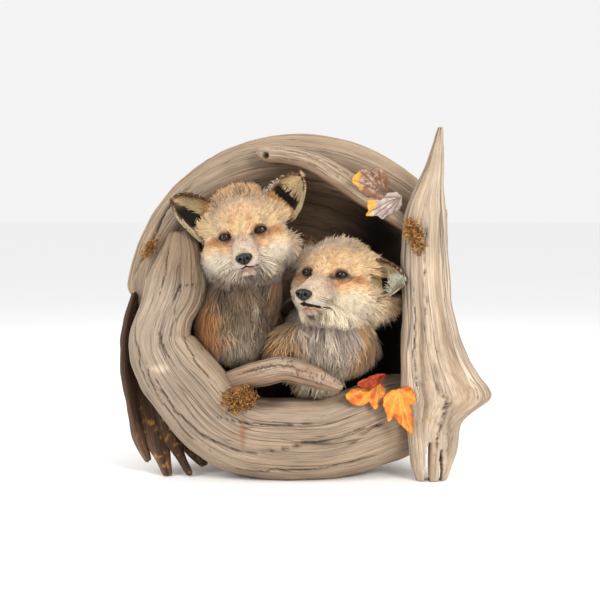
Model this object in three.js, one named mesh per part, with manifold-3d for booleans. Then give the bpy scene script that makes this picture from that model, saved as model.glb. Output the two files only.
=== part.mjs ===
// Two red foxes mounted as head-and-shoulder busts in a hollow ring of driftwood.
// Millimetres. +X is the viewer's right, +Y goes away from the viewer, +Z is up, and z = 0 is the
// surface that the driftwood stands on. The foxes look out along -Y. fox_left and fox_right stand on
// the viewer's left and right, and the sides of their ears and eyes are the foxes' own.
import * as THREE from "three";
import { mergeVertices } from "three/addons/utils/BufferGeometryUtils.js";
import Module from "manifold-3d";

const wasm = await Module();
wasm.setup();

// ---------------------------------------------------------------- driving dimensions
const GAP = 0.35; // room left between pieces that touch
const PART_GAP = 0.4; // width of the thin cuts between the named parts of one fox
const ORIGIN = [-6.4, -10.2]; // x, y of the middle of the whole mount in the coordinates used below

const EYE_RADIUS = 7.5;
const EYE_SPREAD = 23; // from the middle of the face to the middle of one eye
const NOSE_PAD = { at: [0, -67.5, -31], radii: [11, 9, 8.5] };

// Each pose places the point midway between the eyes; angles are in degrees. The fluff of the crown is
// raised, and the cheek on the side of -X is drawn in, by as much as each fox says.
const FOXES = {
  left: { eyes: [-81, -70, 317], yaw: 1.5, pitch: 1, roll: 12, crown: 4, slim: 0, detail: 1 },
  right: { eyes: [24, -78, 266], yaw: 22, pitch: 8, roll: -3, crown: -8, slim: 9, detail: 0.75 },
};

// A hollow shell of a trunk with a broad rounded lip. Profiles are distance from the axis and depth.
const SHELL = {
  axis: [-10, 215],
  radius: 233,
  rightReach: 193, // the shell is broken off flat past this, behind the post
  lowerRadius: 218,
  shoulder: { forward: 46, from: 0.45, to: 0.85 }, // the wall comes forward to meet the post
  inside: [[0, 98], [85, 93], [130, 76], [154, 48], [166, 22]],
  lip: [[184, 5], [205, 0], [222, 4], [231, 16], [233, 30]],
  outside: [[231, 62], [210, 94], [160, 118], [80, 128], [0, 129]],
};

// Stations of each limb of wood: x, y, z of its middle, half its width, half its depth.
const RING_LOG = [
  [-166, -16, 318, 20, 18], [-165, -18, 295, 26, 26], [-168, -22, 269, 34, 32], [-172, -28, 243, 39, 36],
  [-184, -32, 212, 35, 38], [-191, -36, 178, 40, 40], [-178, -40, 147, 46, 43], [-153, -43, 116, 49, 45],
  [-119, -44, 77, 49, 46], [-79, -44, 55, 49, 47], [-30, -44, 49.5, 51, 48], [23, -40, 50, 51, 48],
  [70, -28, 60, 54, 46], [118, -10, 74, 58, 42], [150, 4, 80, 52, 36],
];
const POST = [
  [170, -54, 452, 4, 4], [166, -56, 424, 9, 8], [159, -59, 388, 15, 13], [151, -62, 353, 24, 20],
  [149, -65, 309, 29, 26], [152, -66, 245, 31, 27], [157, -67, 200, 35, 27], [161, -67, 168, 41, 27],
  [170, -67, 137, 50, 25], [177, -67, 118, 57, 23], [178, -67, 105, 56, 23], [169, -67, 88, 43, 23],
  [163, -66, 72, 35, 23], [162, -66, 48, 31, 22], [161, -65, 20, 27, 19], [161, -64, -4, 22, 15],
];
const UPPER_BRANCH = [
  [-64, -12, 424, 8, 6], [-51, -15, 420, 12, 9], [-28, -19, 418, 13, 9], [4, -24, 410, 14, 9],
  [37, -29, 392, 16, 10], [63, -34, 374, 16, 10], [88, -42, 356, 15, 10], [114, -46, 338, 13, 10],
  [136, -48, 322, 10, 8],
];
const FRONT_BRANCH = [
  [-112, -38, 121, 15, 12], [-79, -62, 133, 16, 13], [-53, -74, 141, 16, 13], [-28, -80, 146, 15, 13],
  [-2, -82, 140, 14, 12], [23, -82, 130, 10, 9], [42, -80, 121, 5, 5],
];
const SPLINTERS = {
  splinter_outer: [
    [-229, 12, 236, 5, 14], [-239, 8, 187, 8, 22], [-240, 2, 144, 8, 24], [-233, -8, 95, 8, 20],
    [-222, -20, 50, 7, 14], [-208, -30, 19, 3, 5],
  ],
  splinter_plate: [
    [-216, 8, 156, 12, 7], [-214, 2, 112, 17, 8], [-204, -12, 72, 17, 8], [-194, -28, 36, 13, 7],
    [-181, -42, -3, 4, 4],
  ],
  splinter_third: [
    [-196, -8, 90, 8, 8], [-185, -20, 62, 10, 9], [-170, -34, 34, 9, 9], [-153, -46, 3, 4, 5],
  ],
  splinter_fourth: [
    [-178, 4, 76, 9, 9], [-166, -4, 50, 11, 10], [-151, -14, 29, 11, 9], [-134, -22, 11, 7, 6],
  ],
};
const POST_FOOT_Y = POST.at(-1)[1];
const CLEFTS = [{ x: 154, width: 7, height: 52 }, { x: 171, width: 4, height: 44 }]; // in its foot
const LEAVES = {
  leaf_top_back: { at: [84, -57, 383], size: 27, lobes: 0.1, spin: -60, tip: 14, turn: -12 },
  leaf_top_front: { at: [101, -64, 354], size: 27, lobes: 0.1, spin: -110, tip: 18, turn: 10 },
  leaf_low_left: { at: [76, -68, 109], size: 27, lobes: 0.2, spin: -100, tip: -30, turn: 8 },
  leaf_low_right: { at: [118, -85, 103], size: 30, lobes: 0.2, spin: 170, tip: -12, turn: -25 },
  leaf_low_red: { at: [77, -62, 127], size: 24, lobes: 0.2, spin: -80, tip: -50, turn: -10 },
};
const MOSS = {
  moss_post: { at: [137, -88, 312], radii: [12, 9, 25], lean: -25 },
  moss_ring: { at: [-88, -84, 106], radii: [25, 10, 15], lean: -20 },
  moss_shell: { at: [-206, -2, 298], radii: [10, 8, 20], lean: 35 },
};

const WOOD = { color: 0xb9a58c, roughness: 0.82, metalness: 0 };
const FUR = { color: 0xcfab74, roughness: 0.95, metalness: 0 };
const GLASS = { color: 0x20140c, roughness: 0.08, metalness: 0 };
const FINISHES = {
  wood: WOOD,
  darkWood: { ...WOOD, color: 0x6e4a30 },
  fur: FUR,
  ear: { ...FUR, color: 0x5b4632 },
  eye: GLASS,
  nose: { color: 0x15161a, roughness: 0.4, metalness: 0 },
  leaf: { color: 0xd98230, roughness: 0.7, metalness: 0 },
  paleLeaf: { color: 0xa68f72, roughness: 0.8, metalness: 0 },
  moss: { color: 0x9a7a3a, roughness: 1, metalness: 0 },
};

// ---------------------------------------------------------------- solids
const vec = (x, y, z) => new THREE.Vector3(x, y, z);
const radians = THREE.MathUtils.degToRad;

// The solid of a closed geometry, with its faces turned out.
function toSolid(geometry) {
  const kept = [];
  const { array } = geometry.index;
  for (let i = 0; i < array.length; i += 3) {
    const [a, b, c] = array.slice(i, i + 3);
    if (a !== b && b !== c && c !== a) kept.push([a, b, c]);
  }
  const build = (triangles) =>
    new wasm.Manifold(
      new wasm.Mesh({
        numProp: 3,
        vertProperties: geometry.attributes.position.array,
        triVerts: new Uint32Array(triangles.flat()),
      }),
    );
  const solid = build(kept);
  return solid.volume() > 0 ? solid : build(kept.map(([a, b, c]) => [a, c, b]));
}

function bare(geometry) {
  geometry.deleteAttribute("normal");
  geometry.deleteAttribute("uv");
  return mergeVertices(geometry, 1e-3);
}

// The point of an oval at v = 0..1 from pole to pole.
const onOval = ([rx, ry, rz], v, angle) =>
  vec(
    rx * Math.sin(v * Math.PI) * Math.cos(angle),
    ry * Math.sin(v * Math.PI) * Math.sin(angle),
    rz * Math.cos(v * Math.PI),
  );

// A closed body: place(v, angle) runs from one pole, v = 0, to the other, v = 1.
function closedBody(around, along, place) {
  const geometry = new THREE.SphereGeometry(1, around, along);
  const { position, uv } = geometry.attributes;
  for (let i = 0; i < position.count; i++) {
    const v = 1 - uv.getY(i);
    const turn = v === 0 || v === 1 ? 0 : uv.getX(i) % 1;
    const p = place(v, turn * 2 * Math.PI);
    position.setXYZ(i, p.x, p.y, p.z);
  }
  return toSolid(bare(geometry));
}

const box = (low, high) =>
  toSolid(
    bare(
      new THREE.BoxGeometry(high[0] - low[0], high[1] - low[1], high[2] - low[2]).translate(
        (low[0] + high[0]) / 2,
        (low[1] + high[1]) / 2,
        (low[2] + high[2]) / 2,
      ),
    ),
  );

const mainBody = (solid) =>
  solid.decompose().reduce((best, s) => (s.volume() > best.volume() ? s : best));

const cut = (solid, ...others) => mainBody(others.reduce((s, o) => s.subtract(o), solid));

const FAR = 2000;
const floorBlock = box([-FAR, -FAR, -FAR], [FAR, FAR, 0]);

// ---------------------------------------------------------------- limbs of wood
// The row at t = 0..1 along a table of stations, by a uniform Catmull-Rom spline.
function station(rows, t) {
  const x = t * (rows.length - 1);
  const i = Math.min(Math.floor(x), rows.length - 2);
  const f = x - i;
  const [a, b, c, d] = [i - 1, i, i + 1, i + 2].map((k) => rows[Math.max(0, Math.min(rows.length - 1, k))]);
  return b.map(
    (_, k) =>
      b[k] +
      0.5 * f * (c[k] - a[k] + f * (2 * a[k] - 5 * b[k] + 4 * c[k] - d[k] + f * (3 * (b[k] - c[k]) + d[k] - a[k]))),
  );
}

const BLUNT = 7; // how square the ends of a limb are
const FLATNESS = 0.8; // 1 gives an oval limb, and less gives one with flatter sides

const flattened = (wave) => Math.sign(wave) * Math.abs(wave) ** FLATNESS;

// Sections stand square to the limb, or level where the stations are those of an upright post.
function limb(rows, around, along, grow = 0, level = false) {
  const towardsViewer = vec(0, -1, 0);
  return closedBody(around, along, (v, angle) => {
    const [x, y, z, wide, deep] = station(rows, v);
    const ahead = station(rows, Math.min(1, v + 0.01));
    const behind = station(rows, Math.max(0, v - 0.01));
    const course = level ? [0, 0, -1] : ahead.map((value, k) => value - behind[k]);
    const tangent = vec(course[0], course[1], course[2]).normalize();
    const across = vec(0, 0, 0).crossVectors(tangent, towardsViewer).normalize();
    const outward = vec(0, 0, 0).crossVectors(across, tangent);
    const end = (1 - Math.abs(2 * v - 1) ** BLUNT) ** (1 / BLUNT);
    const stretch = (2 * v - 1) * grow;
    return vec(x, y, z)
      .addScaledVector(across, flattened(Math.cos(angle)) * (wide + grow) * end)
      .addScaledVector(outward, flattened(Math.sin(angle)) * (deep + grow) * end)
      .addScaledVector(tangent, stretch);
  });
}

const SHELL_DEPTH = SHELL.outside.at(-1)[1];
const SHELL_FACETS = 30;
const SHELL_WALL = [120, 190]; // the wall rises between these distances from the axis
const SHELL_WIDENING = 0.14; // height above the axis, as a share of the radius, of the full radius

// The shell is turned about its axis, then flattened where it is broken and where it stands.
function trunkShell() {
  const profile = [...SHELL.inside, ...SHELL.lip, ...SHELL.outside].map(([r, y]) => new THREE.Vector2(r, y));
  const geometry = bare(new THREE.LatheGeometry(profile, SHELL_FACETS));
  const { position } = geometry.attributes;
  for (let i = 0; i < position.count; i++) {
    const p = vec(position.getX(i), position.getY(i), position.getZ(i));
    const fromAxis = Math.hypot(p.x, p.z);
    const reach = shellReach(Math.atan2(p.z, p.x)) / SHELL.radius;
    const { forward: most, from, to } = SHELL.shoulder;
    const towardsPost = THREE.MathUtils.smoothstep(p.x / SHELL.radius, from, to);
    const forward = most * towardsPost * THREE.MathUtils.smoothstep(fromAxis, ...SHELL_WALL);
    const y = p.y - forward * (1 - p.y / SHELL_DEPTH);
    position.setXYZ(i, p.x * reach + SHELL.axis[0], y, p.z * reach + SHELL.axis[1]);
  }
  return toSolid(geometry);
}

// How far the rim is from the axis at an angle from +X towards +Z.
function shellReach(angle) {
  const right = SHELL.rightReach / Math.max(Math.cos(angle), 0.01);
  const upper = THREE.MathUtils.smoothstep(Math.sin(angle), 0, SHELL_WIDENING);
  return Math.min(right, THREE.MathUtils.lerp(SHELL.lowerRadius, SHELL.radius, upper));
}

// A wedge that splits the foot of the post.
function cleft({ x, width, height }) {
  const below = -10;
  const outline = new THREE.Shape([
    new THREE.Vector2(-width / 2, below),
    new THREE.Vector2(width / 2, below),
    new THREE.Vector2(0, height),
  ]);
  const wedge = new THREE.ExtrudeGeometry(outline, { depth: -2 * POST_FOOT_Y, bevelEnabled: false });
  return toSolid(bare(wedge.rotateX(Math.PI / 2).translate(x, 0, 0)));
}

// ---------------------------------------------------------------- foxes
// Distance-like functions; each takes a point and is negative inside.
function ellipsoid([cx, cy, cz], [rx, ry, rz]) {
  return (p) => {
    const [x, y, z] = [p.x - cx, p.y - cy, p.z - cz];
    const k0 = Math.hypot(x / rx, y / ry, z / rz);
    const k1 = Math.hypot(x / rx ** 2, y / ry ** 2, z / rz ** 2);
    return k1 < 1e-9 ? -Math.min(rx, ry, rz) : (k0 * (k0 - 1)) / k1;
  };
}

// A cone with round ends from a to b.
function roundCone(a, ra, b, rb) {
  const [pa, pb] = [vec(...a), vec(...b)];
  const ab = pb.clone().sub(pa);
  return (p) => {
    const q = p.clone().sub(pa);
    const t = Math.max(0, Math.min(1, q.dot(ab) / ab.lengthSq()));
    q.addScaledVector(ab, -t);
    return q.length() - (ra + (rb - ra) * t);
  };
}

const mirrored = (make) => [make(-1), make(1)];

const smoothMin = (a, b, k) => {
  const h = Math.max(k - Math.abs(a - b), 0) / k;
  return Math.min(a, b) - (h * h * k) / 4;
};

const blended = (shapes, k) => (p) => shapes.reduce((d, shape) => smoothMin(d, shape(p), k), FAR);

// The head in its own frame: the origin is midway between the eyes, and the nose is towards -Y.
const headShapes = ({ crown, slim }) => [
  ellipsoid([0, 46, 14 + crown / 3], [47, 50, 38 + crown / 3]), // cranium
  ellipsoid([0, 16, 12], [34, 28, 24]), // forehead
  ellipsoid([0, 42, 34 + crown], [38, 28, 23]), // fluff of the crown between the ears
  roundCone([0, 4, -15], 23, [0, -53, -34], 13.5), // muzzle
  roundCone([0, 4, 0], 11, [0, -58, -25], 7.5), // bridge of the nose
  roundCone([0, 2, -40], 17, [0, -46, -44], 8.5), // lower jaw
  ellipsoid([0, 26, -44], [40, 36, 26]), // throat
  ...mirrored((s) => ellipsoid([s * 12, 2, 9], [13, 11, 8])), // brow
  ...mirrored((s) => ellipsoid([s * 38, 38, 12], [23, 28, 24])), // temple
  ...mirrored((s) => ellipsoid([s * 33 + (s < 0 ? slim / 2 : 0), 24, -20], [27, 26, 27])), // cheek
  ...mirrored((s) => ellipsoid([s * 44 + (s < 0 ? slim : 0), 40, -27], [25, 27, 27])), // ruff behind the cheek
];
const HEAD_BLEND = 14;
const SOCKETS = mirrored((s) => ellipsoid([s * (EYE_SPREAD + 1), -10, 0], [9, 12, 7.5]));
const SOCKET_BLEND = 5;

const headShape = (fox) => {
  const whole = blended(headShapes(fox), HEAD_BLEND);
  return (p) => SOCKETS.reduce((d, socket) => -smoothMin(-d, socket(p), SOCKET_BLEND), whole(p));
};

const BUSTS = {
  left: [
    roundCone([-72, -24, 286], 51, [-85, -18, 228], 56),
    ellipsoid([-92, -14, 196], [58, 54, 52]),
    roundCone([-88, 0, 205], 48, [-82, 56, 205], 44),
  ],
  right: [
    roundCone([54, -32, 240], 50, [38, -28, 195], 58),
    ellipsoid([88, -36, 236], [38, 32, 36]),
    ellipsoid([26, -16, 172], [72, 58, 50]),
    ellipsoid([-20, -42, 168], [34, 34, 38]),
    ellipsoid([14, -24, 134], [44, 40, 33]),
    roundCone([30, 5, 180], 56, [36, 52, 190], 46),
  ],
};
const BUST_BLEND = 20;

// The frame of a fox's head: turns the head's own coordinates into the mount's.
function headFrame({ eyes, yaw, pitch, roll }) {
  const turn = new THREE.Euler(radians(-pitch), radians(-roll), radians(-yaw), "ZXY");
  return new THREE.Matrix4().makeRotationFromEuler(turn).setPosition(...eyes);
}

const MARCH = 1.5; // step of the search for the surface

// Wraps a closed mesh round a shape that every ray from the line back..front meets once.
function wrapped(shape, back, front, reach, around, along) {
  const axis = front.clone().sub(back).normalize();
  const side = Math.abs(axis.z) > 0.7 ? vec(1, 0, 0) : vec(0, 0, 1);
  const up = vec(0, 0, 0).crossVectors(axis, side).normalize();
  const right = vec(0, 0, 0).crossVectors(up, axis);
  return closedBody(around, along, (v, angle) => {
    const lean = -Math.cos(v * Math.PI);
    const from = back.clone().lerp(front, v);
    const ray = axis
      .clone()
      .multiplyScalar(lean ** 3)
      .addScaledVector(up, Math.sin(v * Math.PI) * Math.sin(angle))
      .addScaledVector(right, Math.sin(v * Math.PI) * Math.cos(angle))
      .normalize();
    let far = reach;
    while (far > 0 && shape(from.clone().addScaledVector(ray, far)) > 0) far -= MARCH;
    let near = far;
    far += MARCH;
    for (let i = 0; i < 12; i++) {
      const middle = (near + far) / 2;
      if (shape(from.clone().addScaledVector(ray, middle)) > 0) far = middle;
      else near = middle;
    }
    return from.addScaledVector(ray, near);
  });
}

// Ears, on the viewer's left and right of each head and in the head's own frame. The lower and upper
// edges run from the head to the tip, and the middle is cupped backwards.
const EARS = {
  left: [
    { lower: [[-48, 40, -8], [-80, 26, 20]], upper: [[-26, 44, 42], [-58, 34, 72]], tip: [-87, 27, 66], cup: 15 },
    { lower: [[54, 46, -2], [84, 32, 24]], upper: [[30, 48, 42], [56, 38, 70]], tip: [86, 38, 62], cup: 14 },
  ],
  right: [
    { lower: [[50, 58, -22], [82, 36, -26]], upper: [[32, 54, 32], [68, 42, 36]], tip: [102, 37, 6], cup: 18 },
    { lower: [[-50, 48, -6], [-66, 44, 12]], upper: [[-28, 46, 36], [-44, 42, 58]], tip: [-64, 44, 46], cup: 10 },
  ],
};
const EAR_THICK = 4.5;

function earBody({ lower, upper, tip, cup }, around, along) {
  const edge = ([start, bulge]) => new THREE.QuadraticBezierCurve3(vec(...start), vec(...bulge), vec(...tip));
  const [low, high] = [edge(lower), edge(upper)];
  return closedBody(around, along, (v, angle) => {
    const [a, b] = [low.getPoint(v), high.getPoint(v)];
    const across = Math.cos(angle);
    const width = a.distanceTo(b);
    const sunk = cup * (1 - across * across) * Math.min(1, width / 40);
    const end = (1 - Math.abs(2 * v - 1) ** BLUNT) ** (1 / BLUNT);
    return a
      .add(b)
      .multiplyScalar(0.5)
      .addScaledVector(b.clone().sub(low.getPoint(v)), (across / 2) * end)
      .add(vec(0, sunk + (Math.sin(angle) * EAR_THICK * end) / 2, 0));
  });
}

const placed = (solid, frame) => solid.transform(frame.toArray());

// ---------------------------------------------------------------- leaves and moss
const LEAF_THICK = 1.6;
const LEAF_LOBES = 5; // in number; the lobes of a leaf are its share of depth
const LEAF_CURL = 0.16;

// A lobed leaf that faces -Y with its tip up, spun in its own plane, then tipped back and turned.
function leafBody({ at, size, lobes, spin, tip, turn }) {
  const frame = new THREE.Matrix4()
    .makeRotationFromEuler(new THREE.Euler(radians(tip), radians(spin), radians(turn), "ZXY"))
    .setPosition(...at);
  return closedBody(20, 4, (v, angle) => {
    const lobe = 1 - lobes + lobes * Math.cos(LEAF_LOBES * angle);
    const r = lobe * Math.sin(v * Math.PI);
    const curl = LEAF_CURL * size * r * r * Math.cos(2 * angle);
    const thick = (Math.cos(v * Math.PI) * LEAF_THICK) / 2;
    return vec(size * r * Math.sin(angle), curl - thick, size * r * Math.cos(angle)).applyMatrix4(frame);
  });
}

function mossBody({ at, radii, lean }) {
  const turn = new THREE.Matrix4().makeRotationY(radians(lean)).setPosition(...at);
  return closedBody(8, 4, (v, angle) => {
    const lump = 1 + 0.12 * Math.sin(3 * angle + 7 * v);
    return onOval(radii, v, angle).multiplyScalar(lump).applyMatrix4(turn);
  });
}

// ---------------------------------------------------------------- the mount
const group = new THREE.Group();
const mount = new THREE.Group(); // puts the middle of the mount over the origin
mount.position.set(-ORIGIN[0], -ORIGIN[1], 0);
group.add(mount);

function add(name, solid, finish) {
  const { vertProperties, triVerts } = solid.getMesh();
  const geometry = new THREE.BufferGeometry()
    .setAttribute("position", new THREE.BufferAttribute(vertProperties, 3))
    .setIndex(new THREE.BufferAttribute(triVerts, 1));
  geometry.computeVertexNormals();
  const mesh = new THREE.Mesh(geometry, new THREE.MeshStandardMaterial(FINISHES[finish]));
  mesh.name = name;
  mount.add(mesh);
}

// Driftwood: each piece is cut back from those that stand in front of it.
const postShape = (grow) => limb(POST, 16, 26, grow, true);
const ringShape = (grow) => limb(RING_LOG, 16, 28, grow);
const upperShape = (grow) => limb(UPPER_BRANCH, 10, 12, grow);
const frontShape = (grow) => limb(FRONT_BRANCH, 10, 12, grow);

const post = cut(postShape(0), floorBlock, ...CLEFTS.map(cleft));
const ring = cut(ringShape(0), floorBlock, postShape(GAP));
const shell = cut(trunkShell(), floorBlock, postShape(GAP), ringShape(GAP));
const upperBranch = cut(upperShape(0), trunkShell(), postShape(GAP));
const frontBranch = cut(frontShape(0), ringShape(GAP));
const wood = [postShape(GAP), ringShape(GAP), trunkShell(), upperShape(GAP), frontShape(GAP)];

// Foxes, wrapped to the tips of the coat. Each piece is a function of how much it is grown.
const HEAD_LINE = [vec(0, 52, 6), vec(0, -50, -33)]; // from the nape to the muzzle
const BUST_LINES = {
  left: [vec(-76, -10, 280), vec(-92, 4, 185)],
  right: [vec(44, -12, 235), vec(26, 4, 165)],
};
const HEAD_REACH = 90;
const BUST_REACH = 150;

function foxPieces(name) {
  const pose = FOXES[name];
  const frame = headFrame(pose);
  const facets = (...counts) => counts.map((count) => Math.round(count * pose.detail));
  const grown = (shape, grow) => (p) => shape(p) - grow;
  const bustShape = blended(BUSTS[name], BUST_BLEND);
  const oval = (radii, centre, grow) =>
    closedBody(...facets(10, 7), (v, angle) => onOval(radii.map((r) => r + grow), v, angle).add(vec(...centre)));
  const eyeRadii = [EYE_RADIUS, EYE_RADIUS, EYE_RADIUS];
  return {
    head: (grow) => placed(wrapped(grown(headShape(pose), grow), ...HEAD_LINE, HEAD_REACH, ...facets(22, 20)), frame),
    bust: (grow) => wrapped(grown(bustShape, grow), ...BUST_LINES[name], BUST_REACH, ...facets(15, 12)),
    ears: EARS[name].map((ear) => placed(earBody(ear, ...facets(12, 9)), frame)),
    eyes: mirrored((s) => (grow) => placed(oval(eyeRadii, [s * EYE_SPREAD, 0, 0], grow), frame)),
    nose: (grow) => placed(oval(NOSE_PAD.radii, NOSE_PAD.at, grow), frame),
  };
}

// The fox on the right is one solid.
const right = foxPieces("right");
const rightFox = (grow) =>
  [right.bust(grow), right.nose(grow), ...right.ears].reduce((all, s) => all.add(s), right.head(grow));

// The fox on the left is parted into head, neck, chest, ears, eyes and nose.
const left = foxPieces("left");
const CHEST_Z = 222; // between the neck and the chest
const others = [rightFox(GAP), ...wood];
const above = box([-FAR, -FAR, CHEST_Z - PART_GAP / 2], [FAR, FAR, FAR]);
const below = box([-FAR, -FAR, -FAR], [FAR, FAR, CHEST_Z + PART_GAP / 2]);
const leftBust = left.bust(0).subtract(left.head(GAP));

add("post", post, "wood");
add("ring_log", ring, "wood");
add("trunk_shell", shell, "wood");
add("upper_branch", upperBranch, "wood");
add("front_branch", frontBranch, "wood");

add("fox_left_head", cut(left.head(0), left.nose(GAP), ...left.eyes.map((eye) => eye(GAP)), ...others), "fur");
add("fox_left_neck", cut(leftBust, below, ...others), "fur");
add("fox_left_chest", cut(leftBust, above, ...others), "fur");
add("fox_left_nose", left.nose(0), "nose");
add("fox_right", cut(rightFox(0), ...right.eyes.map((eye) => eye(GAP)), ...wood), "fur");
["right", "left"].forEach((side, i) => {
  add(`fox_left_ear_${side}`, cut(left.ears[i], left.head(GAP), ...others), "ear");
  add(`fox_left_eye_${side}`, left.eyes[i](0), "eye");
  add(`fox_right_eye_${side}`, right.eyes[i](0), "eye");
});

const laid = [...wood, rightFox(GAP), left.head(GAP), left.bust(GAP), ...left.ears];
const splinterShape = (rows, grow) => limb(rows, 8, 7, grow);
for (const [name, rows] of Object.entries(SPLINTERS)) {
  add(name, cut(splinterShape(rows, 0), floorBlock, ...laid), "darkWood");
  laid.push(splinterShape(rows, GAP));
}
for (const [name, leaf] of Object.entries(LEAVES)) {
  const solid = leafBody(leaf);
  add(name, cut(solid, ...laid), name.includes("top") ? "paleLeaf" : "leaf");
  laid.push(solid);
}
for (const [name, tuft] of Object.entries(MOSS)) {
  add(name, cut(mossBody(tuft), ...laid), "moss");
}

export default group;
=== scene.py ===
"""Looks of two taxidermy red foxes in a driftwood ring. Shapes are worked out in millimetres, in the
coordinates of the part's own source, and are moved and scaled to the frame when a mesh is made."""
import itertools
import math

import bpy
import numpy as np
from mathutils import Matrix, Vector, bvhtree, kdtree


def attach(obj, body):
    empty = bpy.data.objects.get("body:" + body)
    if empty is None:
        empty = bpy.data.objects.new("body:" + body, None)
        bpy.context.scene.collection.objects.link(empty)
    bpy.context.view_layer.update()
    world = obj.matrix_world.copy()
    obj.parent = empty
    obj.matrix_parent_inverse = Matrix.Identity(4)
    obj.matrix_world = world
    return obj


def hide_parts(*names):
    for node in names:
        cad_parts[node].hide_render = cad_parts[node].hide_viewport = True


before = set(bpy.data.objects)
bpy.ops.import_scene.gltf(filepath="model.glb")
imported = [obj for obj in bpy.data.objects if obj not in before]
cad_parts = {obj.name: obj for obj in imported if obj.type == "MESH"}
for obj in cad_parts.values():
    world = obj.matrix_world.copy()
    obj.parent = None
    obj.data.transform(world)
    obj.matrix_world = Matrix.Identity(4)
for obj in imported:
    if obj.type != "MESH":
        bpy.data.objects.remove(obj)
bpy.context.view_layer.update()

MM = 0.001
ORIGIN = np.array([-6.4, -10.2, 0.0])  # middle of the mount's footprint, in the coordinates used here

# ---------------------------------------------------------------- camera, light and floor
LENS = 70.0
SENSOR = 36.0
CAMERA_AT = (-8.6, -1550.0, 336.0)
CAMERA_DOWN = 4.0  # degrees
WORLD_STRENGTH = 0.9
AIM = (0, 0, 0.2)  # of every lamp, in metres
LAMPS = [  # name, place in metres, width, power in watts, colour
    ("key", (1.2, -1.7, 1.2), 0.9, 34, (1, 0.98, 0.96)),
    ("fill", (-1.6, -0.9, 1.2), 1.0, 16, (1, 1, 1)),
    ("back", (0.2, 1.5, 1.6), 1.2, 6, (1, 1, 1)),
]
FLOOR_REACH = 90
FLOOR_DROP = 0.0005


def to_scene(point):
    return [float(v) * MM for v in np.asarray(point, float) - ORIGIN]


def make_camera():
    data = bpy.data.cameras.new("camera")
    data.lens = LENS
    data.sensor_width = SENSOR
    data.clip_start = 0.01
    camera = bpy.data.objects.new("camera", data)
    camera.location = to_scene(CAMERA_AT)
    camera.rotation_euler = (math.radians(90 - CAMERA_DOWN), 0, 0)
    bpy.context.collection.objects.link(camera)
    bpy.context.scene.camera = camera


def make_lamp(name, at, size, power, colour):
    data = bpy.data.lights.new(name, "AREA")
    data.shape = "DISK"
    data.size = size
    data.energy = power
    data.color = colour
    lamp = bpy.data.objects.new(name, data)
    lamp.location = at
    lamp.rotation_euler = (Vector(AIM) - Vector(at)).to_track_quat("-Z", "Y").to_euler()
    bpy.context.collection.objects.link(lamp)


def make_studio():
    world = bpy.data.worlds.new("studio")
    bpy.context.scene.world = world
    world.use_nodes = True
    background = world.node_tree.nodes["Background"].inputs
    background["Color"].default_value = (1, 1, 1, 1)
    background["Strength"].default_value = WORLD_STRENGTH
    for lamp in LAMPS:
        make_lamp(*lamp)
    bpy.context.scene.view_settings.view_transform = "Standard"


# ---------------------------------------------------------------- numbers
def vec(*values):
    return np.array(values, float)


def smoothstep(value, low, high):
    t = np.clip((value - low) / (high - low), 0, 1)
    return t * t * (3 - 2 * t)


def unit(v):
    return v / np.maximum(np.linalg.norm(v, axis=-1, keepdims=True), 1e-9)


def linear(red, green, blue):
    """The linear colour of a screen colour given from 0 to 255."""
    c = np.array([red, green, blue], float) / 255
    return np.where(c <= 0.04045, c / 12.92, ((c + 0.055) / 1.055) ** 2.4)


def lattice(ix, iy, iz, seed):
    """A random number from 0 to 1 for each whole-numbered place."""
    h = (ix * 73856093) ^ (iy * 19349663) ^ (iz * 83492791) ^ (seed * 26544357)
    h = (h ^ (h >> 13)) * 1274126177
    h = (h ^ (h >> 16)) & 0xFFFFFF
    return h / float(0xFFFFFF)


def noise(points, seed=0):
    """Smooth noise from -1 to 1 at an array of points."""
    cell = np.floor(points).astype(np.int64)
    f = points - cell
    f = f * f * (3 - 2 * f)
    total = np.zeros(len(points))
    for corner in itertools.product((0, 1), repeat=3):
        x, y, z = (f[:, k] if corner[k] else 1 - f[:, k] for k in range(3))
        total += x * y * z * lattice(*(cell + corner).T, seed)
    return total * 2 - 1


def layered_noise(points, seed=0, layers=3):
    """Noise with finer and fainter noise over it."""
    total = np.zeros(len(points))
    for k in range(layers):
        total += noise(points * 2**k, seed + 17 * k) / 2**k
    return total


# ---------------------------------------------------------------- meshes
def make_piece(name, verts, faces, material, colours=None, uv=None, normals=None, slot=None, grain=None):
    """An object from arrays: vertices in millimetres, and triangles or quads."""
    mesh = bpy.data.meshes.new(name)
    faces = np.asarray(faces, np.int32)
    corners = faces.shape[1]
    mesh.vertices.add(len(verts))
    mesh.vertices.foreach_set("co", ((verts - ORIGIN) * MM).astype(np.float32).ravel())
    mesh.loops.add(faces.size)
    mesh.loops.foreach_set("vertex_index", faces.ravel())
    mesh.polygons.add(len(faces))
    mesh.polygons.foreach_set("loop_start", np.arange(0, faces.size, corners, dtype=np.int32))
    mesh.polygons.foreach_set("use_smooth", np.ones(len(faces), bool))
    if colours is not None:
        layer = mesh.color_attributes.new("tint", "FLOAT_COLOR", "POINT")
        rgba = np.ones((len(verts), 4), np.float32)
        rgba[:, :3] = colours
        layer.data.foreach_set("color", rgba.ravel())
    if grain is not None:
        layer = mesh.attributes.new("grain", "FLOAT_VECTOR", "POINT")
        layer.data.foreach_set("vector", grain.astype(np.float32).ravel())
    if uv is not None:
        layer = mesh.uv_layers.new(name="OFBake")
        layer.data.foreach_set("uv", uv[faces.ravel()].astype(np.float32).ravel())
    mesh.update(calc_edges=True)
    mesh.validate()
    if normals is not None:
        mesh.normals_split_custom_set_from_vertices(normals.astype(np.float32).tolist())
    mesh.materials.append(material)
    piece = bpy.data.objects.new(name, mesh)
    bpy.context.collection.objects.link(piece)
    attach(piece, "root")
    return piece


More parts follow.
